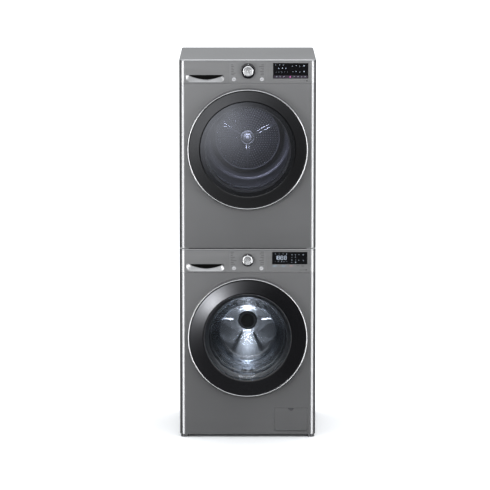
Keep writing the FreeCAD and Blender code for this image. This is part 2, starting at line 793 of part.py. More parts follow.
TRAY_X = (-262.0, -104.0)
TRAY_Z = (752.0, 826.0)
TRAY_Y = (FRONT + POCKET_DEPTH, FRONT + 260)
TRAY_WALL = 2.0


def drawer_tray():
    """The detergent tray: three compartments, the middle one for softener."""
    x0, x1 = TRAY_X
    y0, y1 = TRAY_Y
    tray = block(x0, x1, y0, y1, *TRAY_Z)
    edges = [x0, x0 + 58, x0 + 102, x1]
    hollows = [
        block(left + TRAY_WALL, right - TRAY_WALL, y0 + TRAY_WALL, y1 - TRAY_WALL,
              TRAY_Z[0] + TRAY_WALL, TRAY_Z[1] + 1)
        for left, right in zip(edges, edges[1:])
    ]
    return cut(tray, *hollows)


def dispenser_housing():
    """The box the tray slides in, open at the front."""
    gap = 1.0
    wall = 2.5
    x0, x1 = TRAY_X[0] - gap, TRAY_X[1] + gap
    y0, y1 = TRAY_Y[0] + 2, TRAY_Y[1] + 3
    z0, z1 = TRAY_Z[0] - gap, TRAY_Z[1] + gap
    outer = block(x0 - wall, x1 + wall, y0, y1 + wall, z0 - wall, z1 + wall)
    return outer.cut(block(x0, x1, y0 - 1, y1, z0, z1))


# ---- Dryer --------------------------------------------------------------------------

DRYER_DRUM_R = 283.0
DRYER_SHEET = 1.5
DRYER_DRUM_Y = (-250.0, 190.0)
BACK_DISC_R = 145.0                 # raised, perforated middle of the drum's back wall
BACK_DISC_Y = 150.0
BULKHEAD_Y = (-266.0, -260.0)
MOTOR = (150.0, 935.0)              # x and z of the motor's shaft
PULLEY_R = 11.0
BELT_Y = (-40.0, -30.0)
BELT_GAP = 0.3
ROLLER_R = 35.0
ROLLER_ANGLE = 32.0                 # each side of straight down
ROLLER_Y = (-235.0, -215.0)
ROLLER_PIN_R = 5.0
FAN_R = 70.0
FAN_Y = (215.0, 245.0)
LINT_X = 102.0
LINT_Y = (-284.0, -272.0)
LINT_Z = (960.0, 1092.0)

DRYER_KNOB = (2.0, DRYER_FASCIA + 54)
DRYER_BUTTONS = [(-60.0, DRYER_FASCIA + BUTTON_RISE), (62.0, DRYER_FASCIA + BUTTON_RISE)]
DRYER_DISPLAY = (111.0, 265.0, DRYER_FASCIA + 20, DRYER_FASCIA + 88)


def dryer_drum_shell():
    r = DRYER_DRUM_R
    y0, y1 = DRYER_DRUM_Y
    return turned(
        DRYER_DOOR_Z,
        (r - 20, y0),
        (r, y0),
        (r, y1),
        (r - DRYER_SHEET, y1),
        (r - DRYER_SHEET, y0 + DRYER_SHEET),
        (r - 20, y0 + DRYER_SHEET),
    )


def dryer_drum_back():
    """The drum's back wall: a raised disc with three double ribs, a hub and the rear axle."""
    z = DRYER_DOOR_Z
    r = DRYER_DRUM_R - DRYER_SHEET - 0.2
    y0 = BACK_DISC_Y
    y1 = DRYER_DRUM_Y[1] - 4
    wall = turned(
        z,
        (0, y0),
        (BACK_DISC_R, y0),
        (BACK_DISC_R + 18, y1 - 2),
        (r, y1 - 2),
        (r, y1),
        (BACK_DISC_R + 16.5, y1),
        (BACK_DISC_R - 1.5, y0 + 2),
        (0, y0 + 2),
    )
    ribs = []
    for x in (-9, 5):
        ribs.append(block(x, x + 4, y0 - 4, y0 + 1, z - BACK_DISC_R + 8, z - 20))
    rib_pair = joined(*ribs)
    hub = rod_y(31, y0 - 6, y0 + 8, 0, z)
    axle = rod_y(12, y0, DRYER_BACK - 18, 0, z)
    bolt = rod_y(3.5, y0 - 9, y0 - 5, 0, z - 20)
    return joined(wall, hub, axle, *three_around(rib_pair, z), *three_around(bolt, z))


def rear_bearing():
    """The housing on the back panel that carries the dryer drum's axle."""
    z = DRYER_DOOR_Z
    housing = ring_y(30, 12 + PIN_FIT, DRYER_BACK - 46, DRYER_BACK - 16, 0, z)
    plate = rod_y(60, DRYER_BACK - 16, DRYER_BACK - SHEET, 0, z)
    return joined(housing, plate)


def rear_cover():
    """The pressed air duct cover on the dryer's back."""
    y0, y1 = DRYER_BACK, DEPTH / 2
    z0, z1 = DRYER_BOTTOM + 110, HEIGHT - 90
    cover = block(-235, 235, y0, y1, z0, z1)
    upright_edges = [e for e in cover.Edges if e.BoundBox.YLength > y1 - y0 - 0.01]
    cover = cover.makeFillet(60, upright_edges)
    rim = [e for e in cover.Edges if e.BoundBox.YMin > y1 - 0.01]
    return cover.makeFillet(5, rim)


def roller_centre(side):
    reach = DRYER_DRUM_R + ROLLER_R + BELT_GAP
    angle = math.radians(ROLLER_ANGLE)
    return side * reach * math.sin(angle), DRYER_DOOR_Z - reach * math.cos(angle)


def roller(side):
    x, z = roller_centre(side)
    return ring_y(ROLLER_R, ROLLER_PIN_R + PIN_FIT, *ROLLER_Y, x, z)


def front_bulkhead():
    """The plate behind the front panel: the opening's felt ring, roller pins and filter duct."""
    z = DRYER_DOOR_Z
    y0, y1 = BULKHEAD_Y
    edge = HALF - SHEET - 1
    plate = block(-edge, edge, y0, y1, DRYER_BOTTOM + 46, DRYER_FASCIA - 4)
    hole = rod_y(PANEL_HOLE_R + 4, y0 - 1, y1 + 1, 0, z)
    seal = ring_y(DRYER_DRUM_R - 26, DRYER_DRUM_R - 36, y1, DRYER_DRUM_Y[0] - 0.5, 0, z)
    pins = []
    for side in (-1, 1):
        x, pin_z = roller_centre(side)
        pins.append(rod_y(ROLLER_PIN_R, y1, ROLLER_Y[1] + 4, x, pin_z))
    gap = 1.0
    wall = 2.0
    duct = block(
        -LINT_X - gap - wall, LINT_X + gap + wall, LINT_Y[0] - gap - wall, LINT_Y[1] + gap + wall,
        LINT_Z[0] - gap - wall, LINT_Z[1] - 4)
    bore = block(
        -LINT_X - gap, LINT_X + gap, LINT_Y[0] - gap, LINT_Y[1] + gap,
        LINT_Z[0] - gap, LINT_Z[1] + 5)
    bridge = block(-90, 90, LINT_Y[1] + gap + wall - 0.5, y0 + 0.5, LINT_Z[0], LINT_Z[0] + 60)
    duct = joined(duct.cut(bore), bridge)
    return joined(cut(plate, hole), seal, duct, *pins)


def lint_filter():
    """A flat pull-out cassette with a handle along its top edge."""
    x = LINT_X
    y0, y1 = LINT_Y
    z0, z1 = LINT_Z
    frame = block(-x, x, y0, y1, z0, z1)
    for window_x in (-x + 8, 4):
        frame = frame.cut(block(window_x, window_x + x - 12, y0 - 1, y1 + 1, z0 + 8, z1 - 26))
    screen = block(-x + 4, x - 4, y0 + 5.5, y0 + 6.5, z0 + 4, z1 - 22)
    grip = block(-40, 40, y0 - 1, y0 + 6, z1 - 14, z1 - 6)
    return joined(frame, screen).cut(grip)


def motor():
    x, z = MOTOR
    body = ring_y(52, 8 + PIN_FIT, 10, 130, x, z)
    legs = block(x - 40, x + 40, 25, 115, DRYER_BOTTOM + 3, z - 40)
    return joined(body, legs.cut(rod_y(50, 0, 140, x, z)))


def blower_shaft():
    """The motor's shaft with the belt pulley at the front and the fan wheel behind."""
    x, z = MOTOR
    shaft = rod_y(8, -52, FAN_Y[1], x, z)
    pulley = rod_y(PULLEY_R, BELT_Y[0] - 2, BELT_Y[1] + 2, x, z)
    flanges = [rod_y(15, y, y + 2, x, z) for y in (BELT_Y[0] - 4, BELT_Y[1] + 2)]
    plate = rod_y(FAN_R, FAN_Y[1] - 3, FAN_Y[1], x, z)
    ring = ring_y(FAN_R, FAN_R - 6, FAN_Y[0], FAN_Y[0] + 3, x, z)
    blades = []
    for i in range(12):
        blade = block(x + FAN_R - 22, x + FAN_R - 1, FAN_Y[0], FAN_Y[1] - 2, z - 1, z + 1)
        blade.rotate(vec(x, 0, z), vec(0, 1, 0), 360 / 12 * i)
        blades.append(blade)
    return joined(shaft, pulley, *flanges, plate, ring, *blades)


def belt_outline(y, grow):
    """The loop around the drum and the motor pulley, as a face at depth y."""
    x, z = MOTOR
    drum_r = DRYER_DRUM_R + BELT_GAP + grow
    pulley_r = PULLEY_R + BELT_GAP + grow
    drop = DRYER_DOOR_Z - z
    reach = math.hypot(x, drop)
    towards = math.atan2(-drop, x)
    spread = math.acos((drum_r - pulley_r) / reach)

    def on_drum(angle):
        return (drum_r * math.cos(angle), DRYER_DOOR_Z + drum_r * math.sin(angle))

    def on_pulley(angle):
        return (x + pulley_r * math.cos(angle), z + pulley_r * math.sin(angle))

    left, right = towards - spread, towards + spread
    return outline(
        lambda px, pz: vec(px, y, pz),
        on_drum(right),
        (on_drum(towards + math.pi), on_drum(left)),
        on_pulley(left),
        (on_pulley(towards), on_pulley(right)),
    )


def belt():
    y0, y1 = BELT_Y
    outer = belt_outline(y0, 2.0).extrude(vec(0, y1 - y0, 0))
    inner = belt_outline(y0 - 1, 0.0).extrude(vec(0, y1 - y0 + 2, 0))
    return outer.cut(inner)


def heat_pump():
    """The compressor and the finned exchanger block in the dryer's base."""
    floor = DRYER_BOTTOM + 3
    compressor = rod_z(58, floor, floor + 140, -205, -150)
    compressor = compressor.makeFillet(18, [e for e in compressor.Edges if e.BoundBox.ZMin > floor + 139])
    exchanger = block(-250, 60, -15, 190, floor, floor + 130)
    slots = [block(-260, 70, y, y + 4, floor + 8, floor + 122) for y in range(-5, 185, 16)]
    core = block(-246, 56, -14, 189, floor + 7, floor + 123)
    exchanger = joined(exchanger.cut(slots), core.cut(slots[::2]))
    return compressor, exchanger


TANK_Y = (FRONT + POCKET_DEPTH, FRONT + 450)
TANK_Z = (DRYER_FASCIA + 12, DRYER_FASCIA + 84)
TANK_WALL = 2.5


def water_tank():
    """The condensate tank: a closed box with a filling mouth in its top."""
    x0, x1 = TRAY_X
    y0, y1 = TANK_Y
    z0, z1 = TANK_Z
    body = block(x0, x1, y0, y1, z0, z1)
    edges = [e for e in body.Edges if e.BoundBox.YLength > y1 - y0 - 1]
    body = body.makeFillet(6, edges)
    t = TANK_WALL
    hollow = block(x0 + t, x1 - t, y0 + t, y1 - t, z0 + t, z1 - t)
    mouth = block(x0 + 40, x1 - 40, y1 - 110, y1 - 40, z1 - t - 1, z1 + 1)
    return cut(body, hollow, mouth)


def dryer_back():
    plate = back_panel(DRYER_BOTTOM + 1, HEIGHT - TOP_THICK, DRYER_BACK)
    return plate.cut(rod_y(SPIGOT_HOLE, DRYER_BACK - 10, DRYER_BACK + 10, *DRYER_SPIGOT))


def dryer_drain():
    return hose_spigot(8, 6, DRYER_BACK - 40, DRYER_BACK, DEPTH / 2 - 1, *DRYER_SPIGOT)


def washer_back():
    plate = back_panel(FOOT_HEIGHT + 1, WASHER_TOP - TOP_THICK, WASHER_BACK)
    holes = [rod_y(INLET_R + 2, WASHER_BACK - 9, WASHER_BACK + 9, x, INLET_Z) for x in INLET_X]
    holes.append(rod_y(SPIGOT_HOLE, WASHER_BACK - 9, WASHER_BACK + 9, *WASHER_SPIGOT))
    service = block(-120, 120, WASHER_BACK, WASHER_BACK + 3, 330, 570)
    corners = [e for e in service.Edges if e.BoundBox.YLength > 2.9]
    return joined(cut(plate, *holes), service.makeFillet(30, corners))


def cable_gland(x, y, z):
    """The empty entry of a supply lead."""
    return ring_y(11, 5, y, y + 7, x, z)


def stacking_kit():
    """Two rails and a rear stop that hold the dryer on the washer."""
    z0, z1 = WASHER_TOP, DRYER_BOTTOM
    rails = []
    for side in (-1, 1):
        x0, x1 = sorted((side * (HALF - 40), side * (HALF - 3)))
        rails.append(block(x0, x1, FRONT + 12, WASHER_BACK - 8, z0, z1))
    stop = block(-HALF + 45, HALF - 45, WASHER_BACK - 30, WASHER_BACK - 8, z0, z1)
    return rails + [stop]


# ---- Files --------------------------------------------------------------------------

os.makedirs("parts", exist_ok=True)

washer_side = side_panel(FOOT_HEIGHT, WASHER_TOP - TOP_THICK, WASHER_FASCIA, WASHER_BACK)
dryer_side = side_panel(DRYER_BOTTOM, HEIGHT - TOP_THICK, DRYER_FASCIA, DRYER_BACK)
save("washer_side_panels", washer_side, mirrored(washer_side), *spring_hangers())
save("dryer_side_panels", dryer_side, mirrored(dryer_side))
save("washer_top_panel", top_panel(WASHER_TOP - TOP_THICK + 0.5, WASHER_TOP, WASHER_BACK, 3.5))
save("dryer_top_panel", top_panel(HEIGHT - TOP_THICK + 0.5, HEIGHT, DRYER_BACK, 6.5))
save("washer_front_panel", washer_front())
save("dryer_front_panel", front_panel(DRYER_BOTTOM, DRYER_FASCIA - SEAM, DRYER_DOOR_Z))
save("back_panels", washer_back(), dryer_back(), rear_cover(), rear_bearing(),
     cable_gland(-230, WASHER_BACK, 760), cable_gland(265, DRYER_BACK, 905))
save("washer_base_pan", *washer_base())
save("dryer_base", tray_base(DRYER_BOTTOM, 40, DRYER_BACK))
save("stacking_kit", *stacking_kit())
save("feet", *[foot(x, y) for x, y in FEET])

for machine, z0, z1, knob_at, knob_r, cap_r, buttons, display in (
    ("washer", WASHER_FASCIA, WASHER_TOP, WASHER_KNOB, 28, 21, WASHER_BUTTONS, WASHER_DISPLAY),
    ("dryer", DRYER_FASCIA, HEIGHT, DRYER_KNOB, 34, 26, DRYER_BUTTONS, DRYER_DISPLAY),
):
    rim_z = z1 - TOP_THICK
    save(machine + "_fascia", fascia(z0, rim_z, knob_at, buttons, display))
    save(machine + "_knob", knob(*knob_at, knob_r, cap_r))
    save(machine + "_power_button", button(*buttons[0]))
    save(machine + "_start_button", button(*buttons[1]))

save("display_windows", display_window(*WASHER_DISPLAY), display_window(*DRYER_DISPLAY))
save("washer_drawer_front", drawer_front(WASHER_FASCIA, WASHER_TOP - TOP_THICK))
save("washer_drawer_tray", drawer_tray())
save("washer_dispenser_housing", dispenser_housing())
save("dryer_tank_front", drawer_front(DRYER_FASCIA, HEIGHT - TOP_THICK))
save("dryer_water_tank", water_tank())

WASHER_BEZEL = (RING_INNER_R + 2, RING_FRONT - 1)
DRYER_BEZEL = (217.0, RING_FRONT - 4.5)
for machine, door_z, bezel, collar in (
    ("washer", WASHER_DOOR_Z, WASHER_BEZEL, 0),
    ("dryer", DRYER_DOOR_Z, DRYER_BEZEL, DRYER_COLLAR_R),
):
    save(machine + "_door_ring", door_ring(door_z))
    save(machine + "_door_trim", door_trim(door_z))
    save(machine + "_door_bezel", door_bezel(door_z, *bezel))
    save(machine + "_door_inner_frame", *inner_frame(door_z, collar))
save("washer_door_bowl", door_bowl(WASHER_DOOR_Z))
save("dryer_door_glass",
     rod_y(DRYER_BEZEL[0] - 0.3, RING_FRONT - 4, RING_FRONT - 0.2, 0, DRYER_DOOR_Z),
     rod_y(DRYER_COLLAR_R - COLLAR_WALL - 0.2, FRONT + 6, FRONT + 10, 0, DRYER_DOOR_Z))
save("door_hardware",
     hinge_bracket(WASHER_DOOR_Z), door_lock(WASHER_DOOR_Z),
     hinge_bracket(DRYER_DOOR_Z), door_lock(DRYER_DOOR_Z))

save("washer_gasket", gasket())
save("washer_tub", tub())
save("washer_drum", washer_drum())
save("washer_drum_lifters",
     *three_around(lifter(WASHER_DOOR_Z, DRUM_R - 2, 50, 62, -225, 115), WASHER_DOOR_Z))
save("washer_drum_spider", drum_spider())
save("washer_motor_rotor", rotor())
save("washer_motor_stator", stator())
save("washer_counterweights", *counterweights())
save("washer_springs", *springs())
save("washer_drain_pump", *drain_pump())
save("washer_pump_filter", pump_filter())
save("washer_pump_hatch", pump_hatch())
save("washer_inlet_valves", inlet_valves())

save("dryer_drum_shell", dryer_drum_shell())
save("dryer_drum_back", dryer_drum_back())
save("dryer_drum_baffles",
     *three_around(lifter(DRYER_DOOR_Z, DRYER_DRUM_R - 2, 55, 70, -235, 165), DRYER_DOOR_Z))
save("dryer_front_bulkhead", front_bulkhead())
save("dryer_roller_left", roller(-1))
save("dryer_roller_right", roller(1))
save("dryer_lint_filter", lint_filter())
save("dryer_motor", motor())
save("dryer_blower_shaft", blower_shaft())
save("dryer_belt", belt())
save("dryer_heat_pump", *heat_pump(), dryer_drain())
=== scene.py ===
import json
import math

import bmesh
import bpy
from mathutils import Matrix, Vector

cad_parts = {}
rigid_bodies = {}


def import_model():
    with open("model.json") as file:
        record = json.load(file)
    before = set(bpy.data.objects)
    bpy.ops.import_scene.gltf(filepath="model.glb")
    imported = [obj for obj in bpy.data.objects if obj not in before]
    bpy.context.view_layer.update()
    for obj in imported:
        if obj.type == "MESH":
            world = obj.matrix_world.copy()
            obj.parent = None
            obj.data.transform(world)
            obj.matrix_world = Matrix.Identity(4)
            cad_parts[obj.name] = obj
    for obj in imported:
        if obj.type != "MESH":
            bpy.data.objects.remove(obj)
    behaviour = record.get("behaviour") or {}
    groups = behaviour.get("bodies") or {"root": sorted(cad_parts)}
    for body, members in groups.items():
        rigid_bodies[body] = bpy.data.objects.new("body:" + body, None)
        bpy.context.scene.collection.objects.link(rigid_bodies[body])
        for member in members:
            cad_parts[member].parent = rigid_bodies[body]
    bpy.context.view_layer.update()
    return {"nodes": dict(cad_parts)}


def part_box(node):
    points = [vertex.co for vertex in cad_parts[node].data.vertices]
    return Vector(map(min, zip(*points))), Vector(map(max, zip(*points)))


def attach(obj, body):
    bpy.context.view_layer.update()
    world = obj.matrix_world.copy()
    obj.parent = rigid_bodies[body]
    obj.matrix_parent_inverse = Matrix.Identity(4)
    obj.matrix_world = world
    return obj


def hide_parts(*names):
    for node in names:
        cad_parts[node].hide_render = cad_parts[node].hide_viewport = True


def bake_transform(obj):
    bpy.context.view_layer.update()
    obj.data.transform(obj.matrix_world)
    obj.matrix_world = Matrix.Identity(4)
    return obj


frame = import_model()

# A washing machine with a tumble dryer on top. Metres, X right, Y to the back, Z up.
# Every size below is read from the frame or is a named size of a small detail.

# ---- Places from the frame ----------------------------------------------------------


def corners(node):
    low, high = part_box(node)
    return Vector(low), Vector(high)


def centre(node):
    low, high = corners(node)
    return (low + high) / 2


MM = 0.001
WASHER_Z = centre("washer_door_trim").z
DRYER_Z = centre("dryer_door_trim").z
TRIM_LOW, TRIM_HIGH = corners("dryer_door_trim")
DOOR_FRONT = TRIM_LOW.y
RING_FRONT = TRIM_HIGH.y
DOOR_R = TRIM_HIGH.x
FRONT = corners("dryer_front_panel")[0].y
WASHER_TOP = corners("washer_top_panel")[1].z
TOP = corners("dryer_top_panel")[1].z
WASHER_FASCIA_Z = corners("washer_fascia")[0].z
DRYER_FASCIA_Z = corners("dryer_fascia")[0].z

# ---- Camera, floor and light --------------------------------------------------------

VIEW_HEIGHT = 2.158            # what the frame takes in at the front panel's distance
VIEW_MIDDLE = (-0.0117, 0.861)   # x and z at the middle of the frame
CAMERA_DISTANCE = 14.0
CAMERA_RISE = 2.88             # camera height above the floor
SENSOR = 36.0


def make_camera():
    data = bpy.data.cameras.new("camera")
    camera = bpy.data.objects.new("camera", data)
    bpy.context.scene.collection.objects.link(camera)
    x, z = VIEW_MIDDLE
    target = Vector((x, FRONT, z))
    camera.location = Vector((x, FRONT - CAMERA_DISTANCE, CAMERA_RISE))
    camera.rotation_euler = (target - camera.location).to_track_quat("-Z", "Y").to_euler()
    data.sensor_width = SENSOR
    data.lens = SENSOR * (target - camera.location).length / VIEW_HEIGHT
    data.clip_end = 100.0
    bpy.context.scene.camera = camera


def area_light(name, place, target, size, power, tint=(1.0, 1.0, 1.0)):
    data = bpy.data.lights.new(name, "AREA")
    data.shape = "RECTANGLE"
    data.size, data.size_y = size
    data.energy = power
    data.color = tint
    light = bpy.data.objects.new(name, data)
    bpy.context.scene.collection.objects.link(light)
    light.location = place
    direction = Vector(target) - Vector(place)
    light.rotation_euler = direction.to_track_quat("-Z", "Y").to_euler()
    light.visible_camera = False
    return light


COOL = (0.92, 0.94, 1.0)

# Light from the room by height: from straight below, through the horizon, to overhead.
ROOM_LIGHT = ((-1.0, 0.03), (-0.35, 0.034), (0.0, 0.075), (0.25, 0.16), (0.6, 0.62), (1.0, 1.0))
ROOM_STRENGTH = 2.7


def room_world():
    world = bpy.data.worlds.new("room")
    bpy.context.scene.world = world
    world.use_nodes = True
    nodes, links = world.node_tree.nodes, world.node_tree.links
    nodes.clear()
    seen = nodes.new("ShaderNodeBackground")
    seen.inputs["Color"].default_value = (1.0, 1.0, 1.0, 1.0)
    seen.inputs["Strength"].default_value = 1.0
    lit = nodes.new("ShaderNodeBackground")
    lit.inputs["Strength"].default_value = ROOM_STRENGTH
    direction = nodes.new("ShaderNodeTexCoord")
    parts = nodes.new("ShaderNodeSeparateXYZ")
    links.new(direction.outputs["Generated"], parts.inputs["Vector"])
    height = nodes.new("ShaderNodeMapRange")
    height.inputs["From Min"].default_value = -1.0
    links.new(parts.outputs["Z"], height.inputs["Value"])
    ramp = nodes.new("ShaderNodeValToRGB")
    ramp.color_ramp.elements[0].position = 0.0
    ramp.color_ramp.elements[1].position = 1.0
    for at, _ in ROOM_LIGHT[1:-1]:
        ramp.color_ramp.elements.new((at + 1) / 2)
    for element, (_, value) in zip(ramp.color_ramp.elements, ROOM_LIGHT):
        element.color = (value * 0.97, value * 0.985, value, 1.0)
    links.new(height.outputs["Result"], ramp.inputs["Fac"])
    links.new(ramp.outputs["Color"], lit.inputs["Color"])
    path = nodes.new("ShaderNodeLightPath")
    mix = nodes.new("ShaderNodeMixShader")
    output = nodes.new("ShaderNodeOutputWorld")
    links.new(path.outputs["Is Camera Ray"], mix.inputs["Fac"])
    links.new(lit.outputs["Background"], mix.inputs[1])
    links.new(seen.outputs["Background"], mix.inputs[2])
    links.new(mix.outputs["Shader"], output.inputs["Surface"])


def lit_only(light, chosen):
    """Let a light fall only on the pieces that chosen(name) picks."""
    group = bpy.data.collections.new(light.name + "_pieces")
    for thing in bpy.data.objects:
        if thing.type == "MESH" and chosen(thing.name):
            group.objects.link(thing)
    light.light_linking.receiver_collection = group


# Words in the names of glass, and of what lies behind it or lies black around it.
SEEN_THROUGH = ("glass", "bowl", "pane_border", "beads", "drum", "hub", "back_wall", "back_sheet",
                "back_ribs", "throat", "bellows", "gasket", "display", "band", "bezel", "signs",
                "clock", "rotor", "spider", "tub")
# White pieces, which the tall boxes would burn out.
WHITE_PIECES = ("drawer_tray", "water_tank", "filter")


def outside(name):
    return not any(word in name for word in SEEN_THROUGH)


def boxed(name):
    return outside(name) and not any(word in name for word in WHITE_PIECES)


# Tall soft boxes beside the stack: name, place, power. They light both machines.
SIDE_BOXES = (("left_box", (-2.55, -3.35, 0.6), 240), ("right_box", (2.85, -3.05, 0.6), 220))
SIDE_BOX_SIZE = (2.3, 4.2)
SIDE_BOX_AIM = (0, FRONT, 0.8)

# A box in front of each machine makes its panel brighter at the top: name, floor, power.
FRONT_BOXES = (("washer", 0.0, 18.5), ("dryer", WASHER_TOP, 16.5))
FRONT_BOX_SIZE = (2.4, 1.1)
FRONT_BOX_RISE, FRONT_AIM_RISE = 1.50, 0.9

# Small lights for the highlights on single pieces: name, piece, place, aim, size, power.
HIGHLIGHTS = (
    ("washer_band_box", "washer_band", (0.135, -1.79, 0.045), (-0.17, FRONT, 0.597),
     (0.08, 0.08), 1.4),
    ("dryer_band_box", "dryer_band", (0.34, -3.34, 0.60), (-0.165, FRONT, 1.45), (0.65, 0.65), 10.0),
    ("dryer_band_glow", "dryer_band", (0.33, -3.36, 0.62), (-0.165, FRONT, 1.45), (1.0, 1.0), 0.3),
    ("dryer_glass_box", "dryer_glass_dome", (-0.315, -3.34, 1.21), (0, FRONT, DRYER_Z),
     (0.5, 0.5), 5.5),
    ("washer_bowl_box", "washer_bowl", (0.0, -2.6, 2.0), (0, FRONT, WASHER_Z), (0.9, 0.3), 16),
    ("washer_drum_box", "washer_drum_back", (0.0, -2.6, 0.80), (0, 0.1, WASHER_Z), (0.12, 0.8), 60),
    ("washer_drum_low_box", "washer_drum_back", (0.0, -1.2, 0.09), (0, 0.1, WASHER_Z),
     (0.06, 0.14), 3.5),
    ("dryer_drum_box", "dryer_back", (-0.4, -2.8, 2.0), (0, 0.1, DRYER_Z), (0.9, 0.9), 90),
    ("dryer_hub_box", "dryer_hub", (-0.1, -2.8, 1.5), (0, 0.1, DRYER_Z), (0.9, 0.9), 20),
    ("washer_wall_box", "washer_drum_wall", (0.0, -2.6, 1.3), (0, 0.1, WASHER_Z), (1.6, 0.6), 45),
)


FLOOR_SIZE = 160.0


def make_studio():
    """Soft boxes beside, above and in front of the stack, and a pale floor in a pale room."""
    for name, place, power in SIDE_BOXES:
        lit_only(area_light(name, place, SIDE_BOX_AIM, SIDE_BOX_SIZE, power), boxed)
    for machine, base, power in FRONT_BOXES:
        front = area_light(machine + "_front_box", (0.0, -3.4, base + FRONT_BOX_RISE),
                           (0, FRONT, base + FRONT_AIM_RISE), FRONT_BOX_SIZE, power)
        lit_only(front, lambda name: name.startswith(machine) and outside(name))
    top = area_light("top_edge_box", (0, -0.7, 3.2), (0, FRONT, TOP), (2.4, 0.7), 16)
    lit_only(top, lambda name: name.endswith("_top_panel"))
    for name, piece, place, target, size, power in HIGHLIGHTS:
        light = area_light(name, place, target, size, power, COOL)
        lit_only(light, lambda other: other.startswith(piece))
    room_world()
    bpy.ops.mesh.primitive_plane_add(size=FLOOR_SIZE, location=(0, 0, 0))
    floor = bpy.context.object
    floor.name = "floor"
    floor.data.materials.append(floor_material())
    floor.visible_glossy = False
    bpy.context.scene.view_settings.view_transform = "Standard"


# ---- Materials ----------------------------------------------------------------------


def new_material(name):
    """A material with a Principled shader and object coordinates, in metres."""
    material = bpy.data.materials.new(name)
    material.use_nodes = True
    tree = material.node_tree
    shader = next(n for n in tree.nodes if n.type == "BSDF_PRINCIPLED")
    place = tree.nodes.new("ShaderNodeTexCoord")
    return material, tree, shader, place.outputs["Object"]


def scaled(tree, vector, scale):
    mapping = tree.nodes.new("ShaderNodeMapping")
    mapping.inputs["Scale"].default_value = scale
    tree.links.new(vector, mapping.inputs["Vector"])
    return mapping.outputs["Vector"]


def noise(tree, vector, scale, detail=3.0, roughness=0.5):
    node = tree.nodes.new("ShaderNodeTexNoise")
    node.inputs["Scale"].default_value = scale
    node.inputs["Detail"].default_value = detail
    node.inputs["Roughness"].default_value = roughness
    tree.links.new(vector, node.inputs["Vector"])
    return node.outputs["Fac"]


def spread(tree, value, low, high):
    """A noise value stretched to run from low to high."""
    node = tree.nodes.new("ShaderNodeMapRange")
    node.inputs["From Min"].default_value = 0.3
    node.inputs["From Max"].default_value = 0.7
    node.inputs["To Min"].default_value = low
    node.inputs["To Max"].default_value = high
    tree.links.new(value, node.inputs["Value"])
    return node.outputs["Result"]


def blended(tree, value, dark, light):
    """A colour that runs from dark to light as the value goes from 0 to 1."""
    node = tree.nodes.new("ShaderNodeMix")
    node.data_type = "RGBA"
    node.inputs["A"].default_value = (*dark, 1.0)
    node.inputs["B"].default_value = (*light, 1.0)
    tree.links.new(value, node.inputs["Factor"])
    return node.outputs["Result"]


def bumped(tree, shader, height, strength, distance):
    node = tree.nodes.new("ShaderNodeBump")
    node.inputs["Strength"].default_value = strength
    node.inputs["Distance"].default_value = distance
    tree.links.new(height, node.inputs["Height"])
    tree.links.new(node.outputs["Normal"], shader.inputs["Normal"])


def surface(name, colour, metallic, roughness, grain=(1, 1, 1), cloud=3.0, fine=900.0,
            change=0.06, rough_change=0.05, bump=0.03, depth=0.0002, **sockets):
    """A moulded, painted or bare surface: clouded colour, uneven gloss and a fine texture."""
    material, tree, shader, place = new_material(name)
    place = scaled(tree, place, grain)
    broad = noise(tree, place, cloud)
    small = noise(tree, place, fine, detail=2.0)
    dark = [c * (1 - change) for c in colour]
    light = [min(1.0, c * (1 + change)) for c in colour]
    tree.links.new(
        blended(tree, spread(tree, broad, 0.0, 1.0), dark, light), shader.inputs["Base Color"])
    both = tree.nodes.new("ShaderNodeMath")
    both.operation = "MULTIPLY_ADD"
    both.inputs[1].default_value = 0.5
    tree.links.new(small, both.inputs[0])
    half = tree.nodes.new("ShaderNodeMath")
    half.operation = "MULTIPLY"
    half.inputs[1].default_value = 0.5
    tree.links.new(broad, half.inputs[0])
    tree.links.new(half.outputs["Value"], both.inputs[2])
    tree.links.new(
        spread(tree, both.outputs["Value"], roughness - rough_change, roughness + rough_change),
        shader.inputs["Roughness"])
    bumped(tree, shader, small, bump, depth)
    shader.inputs["Metallic"].default_value = metallic
    for socket, value in sockets.items():
        shader.inputs[socket.replace("_", " ")].default_value = value
    return material


def changing_back(material, start, end, colour, metallic):
    """Blend a panel's material to another colour and metallic value from one depth to a greater one:
    plain side paint on the sides, painted shade in the drawer fronts' recess.
    """
    tree = material.node_tree
    shader = next(n for n in tree.nodes if n.type == "BSDF_PRINCIPLED")
    place = next(n for n in tree.nodes if n.type == "TEX_COORD")
    parts = tree.nodes.new("ShaderNodeSeparateXYZ")
    tree.links.new(place.outputs["Object"], parts.inputs["Vector"])
    depth = tree.nodes.new("ShaderNodeMapRange")
    depth.inputs["From Min"].default_value = start
    depth.inputs["From Max"].default_value = end
    tree.links.new(parts.outputs["Y"], depth.inputs["Value"])
    front_colour = shader.inputs["Base Color"].links[0].from_socket
    shade = tree.nodes.new("ShaderNodeMix")
    shade.data_type = "RGBA"
    shade.inputs["B"].default_value = (*colour, 1.0)
    tree.links.new(depth.outputs["Result"], shade.inputs["Factor"])
    tree.links.new(front_colour, shade.inputs["A"])
    tree.links.new(shade.outputs["Result"], shader.inputs["Base Color"])
    tree.links.new(
        spread(tree, depth.outputs["Result"], shader.inputs["Metallic"].default_value, metallic),
        shader.inputs["Metallic"])
    return material


